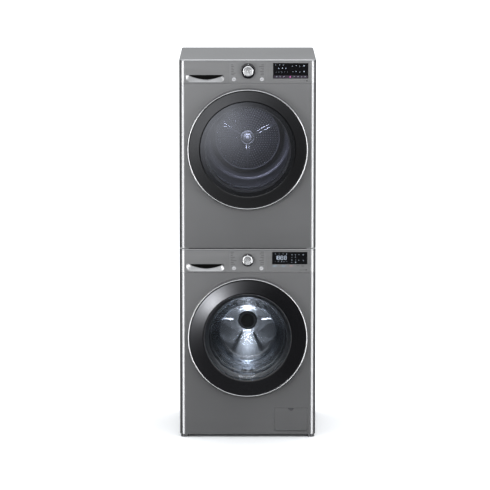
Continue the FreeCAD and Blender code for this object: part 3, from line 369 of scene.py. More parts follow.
def clear_glass(name, tint, gloss, haze=0.01):
    """Glass that lets light through and mirrors more at a glancing angle."""
    material, tree, shader, place = new_material(name)
    shader.inputs["Metallic"].default_value = 1.0
    shader.inputs["Base Color"].default_value = (0.95, 0.97, 1.0, 1.0)
    smears = noise(tree, place, 9.0)
    tree.links.new(spread(tree, smears, haze, haze + 0.04), shader.inputs["Roughness"])
    through = tree.nodes.new("ShaderNodeBsdfTransparent")
    tree.links.new(
        blended(tree, smears, [c * 0.97 for c in tint], tint), through.inputs["Color"])
    fresnel = tree.nodes.new("ShaderNodeFresnel")
    fresnel.inputs["IOR"].default_value = 1.5
    shine = tree.nodes.new("ShaderNodeMath")
    shine.operation = "MULTIPLY"
    shine.inputs[1].default_value = gloss
    tree.links.new(fresnel.outputs["Fac"], shine.inputs[0])
    mix = tree.nodes.new("ShaderNodeMixShader")
    tree.links.new(shine.outputs["Value"], mix.inputs["Fac"])
    tree.links.new(through.outputs["BSDF"], mix.inputs[1])
    tree.links.new(shader.outputs["BSDF"], mix.inputs[2])
    output = next(n for n in tree.nodes if n.type == "OUTPUT_MATERIAL")
    tree.links.new(mix.outputs["Shader"], output.inputs["Surface"])
    return material


def glowing(name, colour, strength):
    """A lit icon or segment behind the display."""
    material = surface(name, colour, 0.0, 0.4, change=0.1)
    shader = next(n for n in material.node_tree.nodes if n.type == "BSDF_PRINCIPLED")
    shader.inputs["Emission Color"].default_value = (*colour, 1.0)
    shader.inputs["Emission Strength"].default_value = strength
    return material


def spun(name, colour, roughness):
    """Metal turned on a lathe: rings of fine grooves and stretched highlights."""
    material = surface(
        name, colour, 1.0, roughness, fine=45.0, change=0.05, rough_change=0.02, bump=0.0,
        Anisotropic=0.85, Anisotropic_Rotation=0.25)
    tree = material.node_tree
    shader = next(n for n in tree.nodes if n.type == "BSDF_PRINCIPLED")
    tangent = tree.nodes.new("ShaderNodeTangent")
    tangent.direction_type = "RADIAL"
    tangent.axis = "Y"
    tree.links.new(tangent.outputs["Tangent"], shader.inputs["Tangent"])
    return material


def spangled(name, colour):
    """Zinc coated sheet, with the crystals of the coating."""
    material, tree, shader, place = new_material(name)
    cells = tree.nodes.new("ShaderNodeTexVoronoi")
    cells.inputs["Scale"].default_value = 140.0
    tree.links.new(place, cells.inputs["Vector"])
    grey = tree.nodes.new("ShaderNodeSeparateColor")
    tree.links.new(cells.outputs["Color"], grey.inputs["Color"])
    tree.links.new(
        blended(tree, grey.outputs["Red"], [c * 0.95 for c in colour], colour),
        shader.inputs["Base Color"])
    tree.links.new(spread(tree, grey.outputs["Green"], 0.36, 0.44), shader.inputs["Roughness"])
    bumped(tree, shader, noise(tree, place, 300.0), 0.03, 0.0002)
    shader.inputs["Metallic"].default_value = 0.9
    return material


def floor_material():
    return surface("floor_white", (0.86, 0.865, 0.87), 0.0, 0.5, cloud=0.6, fine=120.0,
                   change=0.01, bump=0.01, Specular_IOR_Level=0.25)


def satin_paint(name):
    return surface(name, (0.205, 0.207, 0.212), 0.96, 0.36, grain=(1, 1, 1.6), cloud=2.2,
                   fine=1400.0, change=0.035, rough_change=0.03, bump=0.035)


def brushed(name, colour, metallic, roughness):
    return surface(name, colour, metallic, roughness, grain=(1, 1, 14), cloud=3.0, fine=700.0,
                   change=0.03, rough_change=0.03, bump=0.03)


def polished(name, colour, roughness):
    return surface(name, colour, 1.0, roughness, cloud=14.0, change=0.03, rough_change=0.04,
                   bump=0.01)


def black_lacquer(name, colour, roughness):
    return surface(name, colour, 0.0, roughness, cloud=5.0, fine=500.0, change=0.15,
                   rough_change=0.03, bump=0.004, Specular_IOR_Level=0.36)


def plain_ink(name, colour):
    return surface(name, colour, 0.0, 0.5, cloud=60.0)


SILVER = (0.235, 0.237, 0.242)
PAINT = satin_paint("satin_silver_paint")
SIDE_PAINT = changing_back(satin_paint("side_paint"), FRONT + 22 * MM, FRONT + 34 * MM,
                           (0.13, 0.132, 0.136), metallic=0.0)
FASCIA = brushed("fascia_silver", SILVER, 0.9, 0.33)
# The drawer fronts turn near black deeper than 8.5 mm behind the face: painted shade in their recess.
DRAWER_FASCIA_RECESS_SHADE = changing_back(brushed("drawer_silver", SILVER, 0.9, 0.33), FRONT + 8.5 * MM,
                              FRONT + 9.5 * MM, (0.004, 0.004, 0.004), metallic=0.9)
FILM = brushed("fascia_film", (0.205, 0.207, 0.212), 0.85, 0.36)
CHROME = polished("chrome", (0.80, 0.81, 0.83), 0.12)
RIM_CHROME = polished("rim_chrome", (0.46, 0.465, 0.475), 0.2)
BLACK_GLOSS = black_lacquer("black_gloss", (0.003, 0.003, 0.004), 0.15)
BLACK_SATIN = black_lacquer("black_satin", (0.0015, 0.0015, 0.002), 0.24)
DARK = surface("dark_plastic", (0.028, 0.028, 0.031), 0.0, 0.45, cloud=10.0, fine=1500.0,
               change=0.12, bump=0.12)
GREY = surface("grey_plastic", (0.33, 0.34, 0.35), 0.0, 0.42, cloud=10.0, fine=1500.0, bump=0.1)
WHITE = surface("white_plastic", (0.72, 0.73, 0.74), 0.0, 0.38, cloud=10.0, fine=1500.0, bump=0.08)
RUBBER = surface("grey_rubber", (0.045, 0.047, 0.05), 0.0, 0.6, cloud=12.0, fine=900.0,
                 change=0.12, bump=0.15)
BLACK_RUBBER = surface("black_rubber", (0.018, 0.018, 0.018), 0.0, 0.65, cloud=12.0, fine=900.0,
                       change=0.15, bump=0.2)
STEEL = surface("stainless", (0.62, 0.63, 0.65), 1.0, 0.24, grain=(1, 9, 1), cloud=9.0,
                fine=420.0, change=0.05, rough_change=0.05, bump=0.05)
ALLOY = surface("cast_alloy", (0.46, 0.47, 0.49), 0.9, 0.5, cloud=18.0, fine=500.0, bump=0.25)
STONE = surface("concrete", (0.42, 0.41, 0.39), 0.0, 0.85, cloud=25.0, fine=260.0,
                change=0.2, bump=0.5, depth=0.001)
COPPER = surface("wound_copper", (0.55, 0.27, 0.15), 0.9, 0.4, grain=(1, 30, 1), cloud=20.0,
                 fine=300.0, change=0.15, bump=0.4)
# The drums' steels are darker than the bare stainless above: painted shade for the inside of the
# drums. The darkest, shaded_steel, also dims the lifters' glints.
SHADED_DRUM_STEEL = surface("drum_steel", (0.34, 0.345, 0.355), 1.0, 0.24, grain=(1, 9, 1), cloud=9.0,
                     fine=420.0, change=0.06, rough_change=0.05, bump=0.05)
SHADED_STEEL = surface("shaded_steel", (0.105, 0.105, 0.112), 1.0, 0.34, cloud=9.0, fine=420.0,
                     change=0.06, rough_change=0.05, bump=0.05)
DARK_METAL = surface("dark_metal", (0.10, 0.10, 0.105), 0.8, 0.3, cloud=9.0, fine=700.0, bump=0.05)
FELT = surface("felt", (0.30, 0.29, 0.28), 0.0, 0.95, cloud=40.0, fine=1800.0, change=0.2,
               bump=0.5, Sheen_Weight=0.4)
SPUN = spun("spun_metal", (0.72, 0.73, 0.75), 0.24)
# The washer drum's spun back is darker than the dials' spun metal: painted shade inside the drum.
SHADED_DRUM_SPUN = spun("spun_drum", (0.30, 0.305, 0.315), 0.2)
SATIN = surface("satin_cap", (0.37, 0.375, 0.39), 0.6, 0.4, cloud=14.0, change=0.04)
ZINC = spangled("zinc_coat", (0.60, 0.61, 0.62))
PRINT = plain_ink("printed_marks", (0.02, 0.02, 0.022))
BLUE_PRINT = plain_ink("blue_print", (0.16, 0.22, 0.28))
RED_PRINT = plain_ink("red_print", (0.26, 0.15, 0.16))
SMOKE = surface("smoked_strip", (0.045, 0.035, 0.05), 0.0, 0.25, cloud=30.0, change=0.15)
WINDOW = clear_glass("window_glass", (0.86, 0.865, 0.89), 0.7)
DOME_GLASS = clear_glass("dome_glass", (0.86, 0.865, 0.89), 0.7, haze=0.2)
BOWL_GLASS = clear_glass("bowl_glass", (0.78, 0.80, 0.82), 0.8)
ICON = glowing("lit_white", (0.6, 0.68, 0.8), 0.4)
DIM_ICON = glowing("lit_dim", (0.40, 0.45, 0.52), 0.22)
PINK_ICON = glowing("lit_magenta", (0.8, 0.15, 0.55), 0.3)

# ---- Shapes -------------------------------------------------------------------------

RIM_STEPS = 240                # straight steps around a large ring
WELD = 1e-6                    # points closer than this are one


def arc(middle, radius, start, end, steps=8):
    """Points of an arc in a section, angles in degrees."""
    points = []
    for i in range(steps + 1):
        angle = math.radians(start + (end - start) * i / steps)
        points.append((middle[0] + radius * math.cos(angle), middle[1] + radius * math.sin(angle)))
    return points


def curve(points, steps=6):
    """Points of a smooth line through the given points (Catmull-Rom)."""
    path = []
    for i in range(len(points) - 1):
        a, b = Vector(points[max(i - 1, 0)]), Vector(points[i])
        c, d = Vector(points[i + 1]), Vector(points[min(i + 2, len(points) - 1)])
        for k in range(steps):
            t = k / steps
            path.append(tuple(0.5 * (2 * b + (c - a) * t + (2 * a - 5 * b + 4 * c - d) * t ** 2
                                     + (3 * b - a - 3 * c + d) * t ** 3)))
    return path + [tuple(points[-1])]


def link(name, mesh, material, body, slot, replaces=(), sharp=35):
    """Makes a piece from a bmesh that rides on a body."""
    data = bpy.data.meshes.new(name)
    bmesh.ops.recalc_face_normals(mesh, faces=mesh.faces)
    mesh.to_mesh(data)
    mesh.free()
    data.shade_smooth()
    data.set_sharp_from_angle(angle=math.radians(sharp))
    data.materials.append(material)
    piece = bpy.data.objects.new(name, data)
    bpy.context.scene.collection.objects.link(piece)
    if isinstance(body, str):
        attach(piece, body)
    if replaces:
        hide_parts(*replaces)
    return piece


def lathed(mesh, profile, x, z, steps=RIM_STEPS, notch=None):
    """A closed section of (radius, y) turned about an axis along Y through x, z."""
    rings = []
    for k in range(steps):
        turn = 2 * math.pi * k / steps
        across, up = math.cos(turn), math.sin(turn)
        section = notch(profile, across, up) if notch else profile
        rings.append([mesh.verts.new((x + r * across, y, z + r * up)) for r, y in section])
    for k in range(steps):
        one, two = rings[k], rings[(k + 1) % steps]
        for i in range(len(profile)):
            j = (i + 1) % len(profile)
            mesh.faces.new((one[i], one[j], two[j], two[i]))
    bmesh.ops.remove_doubles(mesh, verts=mesh.verts, dist=WELD)
    return mesh


def ring(name, profile, x, z, material, body, slot, **more):
    steps = more.pop("steps", RIM_STEPS)
    notch = more.pop("notch", None)
    mesh = lathed(bmesh.new(), profile, x, z, steps, notch)
    return link(name, mesh, material, body, slot, **more)


def in_mm(*points, depth=0.0):
    """A section given in millimetres, set back by a depth in metres."""
    return [(r * MM, depth + y * MM) for r, y in points]


def block(mesh, low, high, radius):
    """A box between two corners with rounded edges."""
    made = bmesh.ops.create_cube(mesh, size=1.0)
    low, high = Vector(low), Vector(high)
    middle, size = (low + high) / 2, high - low
    for vertex in made["verts"]:
        vertex.co = Vector(c * s for c, s in zip(vertex.co, size)) + middle
    edges = {e for v in made["verts"] for e in v.link_edges}
    return bmesh.ops.bevel(mesh, geom=list(edges), offset=radius, segments=3, profile=0.5,
                           affect="EDGES")["verts"]


def spin(verts, degrees, about):
    """Turns vertices about an axis along Y through about=(x, z)."""
    c, s = math.cos(math.radians(degrees)), math.sin(math.radians(degrees))
    for vertex in verts:
        x, z = vertex.co.x - about[0], vertex.co.z - about[1]
        vertex.co.x, vertex.co.z = about[0] + x * c - z * s, about[1] + x * s + z * c


def plate(mesh, outline, front, back):
    """A flat plate: an outline of (x, z) points between two depths."""
    near = [mesh.verts.new((x, front, z)) for x, z in outline]
    far = [mesh.verts.new((x, back, z)) for x, z in outline]
    mesh.faces.new(near)
    mesh.faces.new(reversed(far))
    for i in range(len(near)):
        j = (i + 1) % len(near)
        mesh.faces.new((near[i], far[i], far[j], near[j]))
    return near + far


def rounded(x0, x1, z0, z1, radius, steps=6):
    """The outline of a rectangle with rounded corners."""
    points = []
    for x, z, start in ((x1, z1, 0), (x0, z1, 90), (x0, z0, 180), (x1, z0, 270)):
        middle = (x - math.copysign(radius, x - (x0 + x1) / 2),
                  z - math.copysign(radius, z - (z0 + z1) / 2))
        points += arc(middle, radius, start, start + 90, steps)
    return points


def hole_rings(inner, outer, pitch):
    """Evenly spaced rings of holes: the edges of each ring and its number of holes."""
    rows = round((outer - inner) / pitch)
    step = (outer - inner) / rows
    for row in range(rows):
        near, far = inner + row * step, inner + (row + 1) * step
        yield near, far, 6 * round(math.pi * (near + far) / step / 6)


HOLE_SIDES = 8


def pierced(mesh, place, rings, hole, deep, keep):
    """A round sheet with drilled holes where keep(x, z); place(x, z, depth) gives each point."""
    for near, far, columns in rings:
        middle = (near + far) / 2
        for column in range(columns):
            turn, step = 2 * math.pi * column / columns, math.pi / columns
            at = Vector((middle * math.cos(turn), middle * math.sin(turn)))
            edge = []
            for r, side in ((far, 0), (far, 1), (middle, 1), (near, 1),
                            (near, 0), (near, -1), (middle, -1), (far, -1)):
                angle = turn + side * step
                edge.append(mesh.verts.new(place(r * math.cos(angle), r * math.sin(angle), 0)))
            if not keep(*at):
                mesh.faces.new(edge)
                continue
            lip, bottom = [], []
            for x, z in arc(at, hole, 0, 315, HOLE_SIDES - 1):
                lip.append(mesh.verts.new(place(x, z, 0)))
                bottom.append(mesh.verts.new(place(x, z, deep)))
            for k in range(HOLE_SIDES):
                n = (k + 1) % HOLE_SIDES
                mesh.faces.new((edge[k], edge[n], lip[n], lip[k]))
                mesh.faces.new((lip[k], lip[n], bottom[n], bottom[k]))
    bmesh.ops.remove_doubles(mesh, verts=mesh.verts, dist=WELD)
    return mesh


# ---- Doors --------------------------------------------------------------------------

TRIM_WALL = 8 * MM             # radial width of the bright rim
LUG_RISE = (43 * MM, 59 * MM)  # where the hinge lugs pass behind the rim
LUG_ROOM = 4 * MM
GLASS_R = corners("dryer_door_glass")[1].x + 0.2 * MM


def lug_notch(section, across, up):
    rise = abs(up) * DOOR_R
    if across < 0 and LUG_RISE[0] < rise < LUG_RISE[1]:
        return [(r, min(y, RING_FRONT - LUG_ROOM)) for r, y in section]
    return section


def door_rim(machine, z):
    """The bright rim with a rounded front, and its flank down to the ring in dark metal: painted shade
    for the dark line around the rim.
    """
    body = machine + "_door"
    inner, rear = DOOR_R - TRIM_WALL, (RING_FRONT - DOOR_FRONT) / MM
    section = [(inner, RING_FRONT), (inner, DOOR_FRONT + 3.4 * MM)]
    section += arc((inner + 2.4 * MM, DOOR_FRONT + 2.2 * MM), 2.2 * MM, 190, 350, 12)
    edge = inner + 4.9 * MM
    section += [(edge, DOOR_FRONT + 4 * MM), (edge, RING_FRONT)]
    ring(machine + "_rim", section, 0, z, RIM_CHROME, body, "chrome_trim",
         replaces=[machine + "_door_trim"], notch=lug_notch)
    wide = TRIM_WALL / MM - 4.9
    flank = [(0, rear), (0, 3.4)]
    flank += curve([(0.3, 2.9), (1.3, 4), (wide - 0.4, 7.5), (wide, 10)], 4) + [(wide, rear)]
    # The flank's dark metal is painted shade: the dark line around the bright rim.
    ring(machine + "_rim_flank", [(edge + r, y) for r, y in in_mm(*flank, depth=DOOR_FRONT)], 0, z,
         DARK_METAL, body, "chrome_trim", notch=lug_notch)


def door_band(machine, z, lip, lip_y, window_y, material):
    """The dark ring: a rounded lip at the window and a face that slopes out to the rim."""
    outer = DOOR_R - TRIM_WALL - 0.5 * MM
    start = Vector((lip + 5 * MM, lip_y - 2.2 * MM))
    end = Vector((outer - 3 * MM, DOOR_FRONT + 2.5 * MM))
    slope = [tuple(start.lerp(end, share)) for share in (0, 0.1, 0.35, 0.65, 0.9, 1)]
    face = [(lip + 0.6 * MM, lip_y), (lip + 2.4 * MM, lip_y - 1.4 * MM), *slope,
            (outer - 1 * MM, DOOR_FRONT + 2.6 * MM), (outer, DOOR_FRONT + 3.6 * MM)]
    section = [(lip, window_y), *curve(face, 8), (outer, RING_FRONT)]
    if window_y < RING_FRONT - 1 * MM:     # the pane lies in a step behind the band
        step = corners("dryer_door_bezel")[1].y
        section += [(GLASS_R, step), (GLASS_R, window_y)]
    ring(machine + "_band", section, 0, z, material, machine + "_door", "black_gloss",
         replaces=[machine + "_door_bezel"], notch=lug_notch)


door_rim("washer", WASHER_Z)
door_rim("dryer", DRYER_Z)
door_band("washer", WASHER_Z, 194 * MM, -332.2 * MM, RING_FRONT, BLACK_GLOSS)
door_band("dryer", DRYER_Z, 208 * MM, -335.6 * MM, -334.1 * MM, BLACK_SATIN)

# The washer's deep glass bowl, with the steps that are pressed into its wall.
BOWL_OUTSIDE = [(191.5, -328.9), (191.5, -315), (188, -309.5), (181, -307), (173.6, -303),
                (171.2, -296), (170.2, -283), (167, -274), (161, -268), (157.5, -258),
                (153, -236), (144, -206), (133, -184), (120, -171), (104, -166), (60, -165), (0, -165)]
BOWL_INSIDE = [(0, -169.2), (60, -169.2), (102, -170.4), (116, -175.4), (128.6, -188),
               (139.6, -209), (148.6, -238), (153, -259), (157.4, -271.5), (163.4, -277),
               (166, -285), (167, -297), (169.6, -305.6), (179, -311.4), (185.4, -314),
               (187.3, -319), (187.3, -328.9)]
bowl = curve(in_mm(*BOWL_OUTSIDE), 5) + curve(in_mm(*BOWL_INSIDE), 5)
bowl[-1] = (bowl[-1][0], bowl[0][1])
ring("washer_bowl", bowl, 0, WASHER_Z, BOWL_GLASS, "washer_door", "window_glass",
     replaces=["washer_door_bowl"], sharp=50)

# The dryer's slightly domed pane, and the flat pane behind it.
DOME = 4 * MM
PANE = 3.4 * MM
pane_edge = corners("dryer_door_glass")[0].y + 0.2 * MM
PANE_R = GLASS_R - 0.3 * MM
front_face = [(PANE_R * k / 12, pane_edge - DOME * (1 - (k / 12) ** 2)) for k in range(13)]
ring("dryer_glass_dome", front_face + [(r, y + PANE) for r, y in front_face[::-1]], 0, DRYER_Z,
     DOME_GLASS, "dryer_door", "window_glass", replaces=["dryer_door_glass"])
INNER_PANE_R = 183.1
ring("dryer_glass_inner",
     in_mm((0, -297), (INNER_PANE_R - 1, -297), (INNER_PANE_R, -296.4), (INNER_PANE_R, -293.6),
           (INNER_PANE_R - 1, -293), (0, -293)),
     0, DRYER_Z, WINDOW, "dryer_door", "window_glass")

# The printed border of the dryer's pane.
BORDER_R = GLASS_R / MM - 1
ring("dryer_pane_border",
     in_mm((190, 0), (BORDER_R, 0), (BORDER_R, 0.1), (190, 0.1), depth=RING_FRONT - 0.15 * MM),
     0, DRYER_Z, BLACK_GLOSS, "dryer_door", "black_gloss")

# ---- Inside the dryer ---------------------------------------------------------------

WALL_R = corners("dryer_drum_back")[1].x
WALL_Y = 184 * MM
DISC_R = 145 * MM              # raised, pierced middle of the back wall
DISC_Y = 150 * MM
SHEET_R = 141.5 * MM           # outer edge of the pierced sheet
HUB_R = 35 * MM
RIB_ANGLES = (-90, 29, 151)
RIB_ROOM = 9.5 * MM            # no holes this close to the middle of a rib
PITCH = 10.65 * MM             # between the rings of holes, and between holes on a ring
HOLE_R = 2.4 * MM
COLLAR = ((4.3, 0.0), (3.7, -0.9), (3.0, -1.3), (2.4, -0.7), (2.4, 0.4))
COLLAR_SIDES = 10


def collars(place, keep):
    """The pressed collar around every hole of the sheet."""
    mesh = bmesh.new()
    for near, far, columns in hole_rings(HUB_R, SHEET_R, PITCH):
        for at in arc((0, 0), (near + far) / 2, 0, 360 - 360 / columns, columns - 1):
            if not keep(*at):
                continue
            loops = [[mesh.verts.new(place(x, z, rise * MM))
                      for x, z in arc(at, r * MM, 0, 324, COLLAR_SIDES - 1)] for r, rise in COLLAR]
            for one, two in zip(loops, loops[1:]):
                for k in range(COLLAR_SIDES):
                    n = (k + 1) % COLLAR_SIDES
                    mesh.faces.new((one[k], one[n], two[n], two[k]))
    return mesh


def clear_of_ribs(x, z):
    for angle in RIB_ANGLES:
        c, s = math.cos(math.radians(angle)), math.sin(math.radians(angle))
        if x * c + z * s > 0 and abs(z * c - x * s) < RIB_ROOM:
            return False
    return True


def sheet_point(x, z, deep):
    """A point of the slightly domed sheet, measured from the drum's middle."""
    dome = 3.0 * MM * (1 - (math.hypot(x, z) / DISC_R) ** 2)
    return (x, DISC_Y - dome + deep, DRYER_Z + z)


def dryer_back():
    """The back wall: a dished steel ring around a raised sheet pierced with rings of holes."""
    wall = WALL_R / MM
    section = curve(in_mm((wall, 1.8), (wall, 0), (205, 0), (203, -3), (190, -3), (188, 0), (168, 0),
                          depth=WALL_Y), 4)
    section += curve(in_mm((164, 33), (158, 20), (151, 4), (147, 0), (141, 0), depth=DISC_Y), 4)
    section += in_mm((141, 1.4), (146, 1.8), (157, 24), (163, 35.8), depth=DISC_Y)
    ring("dryer_back_wall", section, 0, DRYER_Z, SHADED_STEEL, "dryer_drum", "drum_steel",
         replaces=["dryer_drum_back"])
    sheet = pierced(bmesh.new(), sheet_point, hole_rings(HUB_R, SHEET_R, PITCH), HOLE_R, 1.4 * MM,
                    clear_of_ribs)
    link("dryer_back_sheet", sheet, SHADED_STEEL, "dryer_drum", "drum_steel")
    # The collars take a brighter steel than the sheet they are pressed from: painted highlight on the
    # collars.
    link("dryer_back_beads", collars(sheet_point, clear_of_ribs), SHADED_DRUM_STEEL, "dryer_drum",
         "drum_steel")

    ribs = bmesh.new()
    for angle in RIB_ANGLES:
        for side in (-1, 1):
            x = side * 6.5 * MM
            made = block(ribs, (x - 1.6 * MM, DISC_Y - 6.5 * MM, DRYER_Z + HUB_R - 2 * MM),
                         (x + 1.6 * MM, DISC_Y + 1 * MM, DRYER_Z + 139 * MM), 1.2 * MM)
            spin(made, angle - 90, (0, DRYER_Z))
    # Chrome ribs, brighter than the sheet they are pressed into: painted highlight.
    link("dryer_back_ribs", ribs, CHROME, "dryer_drum", "drum_steel")

    hub = curve([(35.5, 149), (35.5, 146.6), (33, 145.2), (29, 144.6), (27, 145.6), (24.6, 145.4),
                 (23, 143.6), (16, 142.6), (12.5, 142.4), (11, 140.8), (0, 140.4)], 4)
    ring("dryer_hub", in_mm(*hub, (0, 149)), 0, DRYER_Z, STEEL, "dryer_drum", "drum_steel",
         steps=96)
    bolts = bmesh.new()
    for x, z in arc((0, DRYER_Z), 19.5 * MM, 30, 330, 5):
        lathed(bolts, in_mm((3.4, 145), (3.4, 141.4), (2.6, 140.6), (1.2, 140.4), (1.0, 141.2),
                            (0, 141.2), (0, 145)), x, z, steps=24)
    link("dryer_hub_bolts", bolts, STEEL, "dryer_drum", "drum_steel")


dryer_back()

# The dark throat that leads into the drum, and the bright ring at its end. Below it the
# fluff filter slides up in front of the throat.
FILTER_ROOM_Y = corners("dryer_lint_filter")[1].y + 1.5 * MM
FILTER_HALF_ANGLE = 36         # degrees to each side of straight down
THROAT_END = -160 * MM


def filter_notch(section, across, up):
    if up < -math.cos(math.radians(FILTER_HALF_ANGLE)):
        return [(r, max(y, FILTER_ROOM_Y)) for r, y in section]
    return section


ring("dryer_throat",
     in_mm(*curve([(187.6, -290.6), (189.0, -286), (190.0, -268), (191.0, -200)], 5),
           (191.2, -160), (192.4, -160), (192.2, -200), (191.2, -268), (190.2, -286),
           (188.6, -290.6)),
     0, DRYER_Z, DARK, "cabinet", "dark_plastic", notch=filter_notch)
ring("dryer_throat_ring",
     in_mm(*arc((189.6, 0), 2.6, 60, 300, 14), (192.2, 2.0), (192.2, 2.6), depth=THROAT_END),
     0, DRYER_Z, CHROME, "cabinet", "chrome_trim")
ring("dryer_felt_ring",
     in_mm((247.4, -259.9), (247.4, -252.4), (249, -250.8), (255, -250.8), (256.6, -252.4),
           (256.6, -259.9)),
     0, DRYER_Z, FELT, "cabinet", "gasket_rubber")

# ---- Inside the washer --------------------------------------------------------------

DRUM_LOW, DRUM_HIGH = corners("washer_drum")
DRUM_R = DRUM_HIGH.x
DRUM_FRONT, DRUM_REAR = DRUM_LOW.y, DRUM_HIGH.y
SHEET = 1.5 * MM
MOUTH_R = 176 * MM
FIELD_RISE = 1 * MM            # of the three raised fields of the drum's back
RIM_RISE = 7 * MM              # how far the back's rim curves forward


def washer_wall():
    """The drum's wall, drilled all around."""
    columns, rows = 104, 22
    hole, count = 2.4 * MM, 8
    y0, y1 = DRUM_FRONT + 16 * MM, DRUM_REAR - 6 * MM
    tall, wide = (y1 - y0) / rows, 2 * math.pi / columns
    inside = DRUM_R - SHEET
    mesh = bmesh.new()

    def at(turn, y, radius):
        return mesh.verts.new((radius * math.cos(turn), y, WASHER_Z + radius * math.sin(turn)))

    for row in range(rows):
        for column in range(columns):
            y, turn = y0 + (row + 0.5) * tall, (column + 0.5 * (row % 2)) * wide
            edge, lip, rear = [], [], []
            for k in range(count):
                angle = 2 * math.pi * k / count
                c, s = math.cos(angle), math.sin(angle)
                reach = 0.5 / max(abs(c), abs(s))
                edge.append(at(turn + c * reach * wide, y + s * reach * tall, inside))
                lip.append(at(turn + c * hole / DRUM_R, y + s * hole, inside))
                rear.append(at(turn + c * hole / DRUM_R, y + s * hole, DRUM_R))
            for k in range(count):
                n = (k + 1) % count
                mesh.faces.new((edge[k], edge[n], lip[n], lip[k]))
                mesh.faces.new((lip[k], lip[n], rear[n], rear[k]))
    bmesh.ops.remove_doubles(mesh, verts=mesh.verts, dist=WELD)
    link("washer_drum_wall", mesh, SHADED_DRUM_STEEL, "washer_drum_unit", "drum_steel",
         replaces=["washer_drum"])


def washer_mouth():
    """The drum's rolled mouth, joined to its front by a pressed step."""
    mouth, wall = MOUTH_R / MM, DRUM_R / MM
    front = curve(in_mm((mouth + 1, 5), (mouth, 3), (mouth + 1, 0.5), (mouth + 4, 0), (200, 1),
                        (206, 4), (218, 4), (224, 1), (wall - 5, 2), (wall - 0.2, 8),
                        (wall - 0.2, 17), depth=DRUM_FRONT), 5)
    back = [(r - SHEET if r > MOUTH_R + 20 * MM else r + SHEET, y + SHEET) for r, y in front]
    ring("washer_drum_mouth", front + back[::-1], 0, WASHER_Z, SHADED_DRUM_STEEL, "washer_drum_unit",
         "drum_steel")


def clamped(value):
    return max(0.0, min(1.0, value))


def smooth(value):
    """A step from 0 to 1 with a soft start and end."""
    return value * value * (3 - 2 * value)


def pressed_back(r, turn):
    """The depth of the drum's back: three raised fields and a rim that curves forward."""
    third = math.cos(3 * (turn - math.radians(90)))
    field = smooth(clamped((third + 0.5) / 0.6))
    band = smooth(clamped(min((r - 58 * MM) / (8 * MM), (206 * MM - r) / (9 * MM))))
    rim = max(0.0, (r - 214 * MM) / (26 * MM))
    return DRUM_REAR - 2 * MM - FIELD_RISE * field * band - RIM_RISE * rim ** 2


def washer_back():
    columns, rows = 288, 44
    inner, outer = 39 * MM, DRUM_R - 0.3 * MM
    mesh = bmesh.new()
    grid = []
    for row in range(rows + 1):
        r = inner + (outer - inner) * row / rows
        turns = [2 * math.pi * column / columns for column in range(columns)]
        grid.append([mesh.verts.new((r * math.cos(turn), pressed_back(r, turn),
                                     WASHER_Z + r * math.sin(turn))) for turn in turns])
    for near, far in zip(grid, grid[1:]):
        for column in range(columns):
            n = (column + 1) % columns
            mesh.faces.new((near[column], near[n], far[n], far[column]))
    link("washer_drum_back", mesh, SHADED_DRUM_SPUN, "washer_drum_unit", "drum_steel", sharp=60)


washer_wall()
washer_mouth()
washer_back()
ring("washer_hub_cap",
     in_mm(*curve([(42.5, 137.4), (42.5, 131), (40.5, 127.6), (36, 126), (33.5, 127.4),
                   (31, 126.2), (20, 121.5), (9, 119.4), (0, 119)], 5), (0, 137.4)),
     0, WASHER_Z, DARK_METAL, "washer_drum_unit", "drum_steel", steps=120)


def gasket():
    """The rubber bellows: a bead in the panel, two folds, and a lip that meets the bowl."""
    outside = curve([(188.2, -303.6), (187.6, -299), (186.8, -292), (184.6, -286), (186.6, -281),
                     (186.8, -274), (184, -268), (183.6, -262.6)], 5)
    inside = curve([(180.5, -262.6), (180.4, -268), (182.6, -274), (181.6, -279), (177.6, -283),
                    (175.2, -288), (174.4, -292), (176.6, -295), (180.6, -298), (184.4, -302)], 5)
    piece = ring("washer_bellows", in_mm(*outside, *inside), 0, WASHER_Z, RUBBER, None,
                 "gasket_rubber", replaces=["washer_gasket"], sharp=60)
    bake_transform(piece)


gasket()

# ---- Controls -----------------------------------------------------------------------

FACE = FRONT                   # outer face of both fascias
MARK = 0.15 * MM               # thickness of printed marks
SIGN = 0.08 * MM               # thickness of the signs on the buttons
FILM_THICK = 0.3 * MM


def pierced_film(name, outline, circles, y):
    """A thin sheet with round holes."""
    mesh = bmesh.new()
    edges = []
    for loop in [outline] + [arc(middle, r, 0, 352.5, 47) for middle, r in circles]:
        verts = [mesh.verts.new((x, y, z)) for x, z in loop]
        edges += [mesh.edges.new((verts[i - 1], verts[i])) for i in range(len(verts))]
    bmesh.ops.triangle_fill(mesh, use_beauty=True, use_dissolve=False, edges=edges,
                            normal=(0, -1, 0))
    made = bmesh.ops.extrude_face_region(mesh, geom=mesh.faces[:])
    for part in made["geom"]:
        if isinstance(part, bmesh.types.BMVert):
            part.co.y -= FILM_THICK
    link(name, mesh, FILM, "cabinet", "fascia_metal")


def marks(name, bars, y, thick, material, slot="dark_plastic"):
    """Small rounded marks: each bar is (x middle, z middle, width, height) in millimetres."""
    mesh = bmesh.new()
    for x, z, wide, tall in bars:
        radius = min(wide, tall) * 0.45
        outline = rounded(x - wide / 2, x + wide / 2, z - tall / 2, z + tall / 2, radius, 3)
        plate(mesh, in_mm(*outline), y - thick, y)
    link(name, mesh, material, "cabinet", slot)


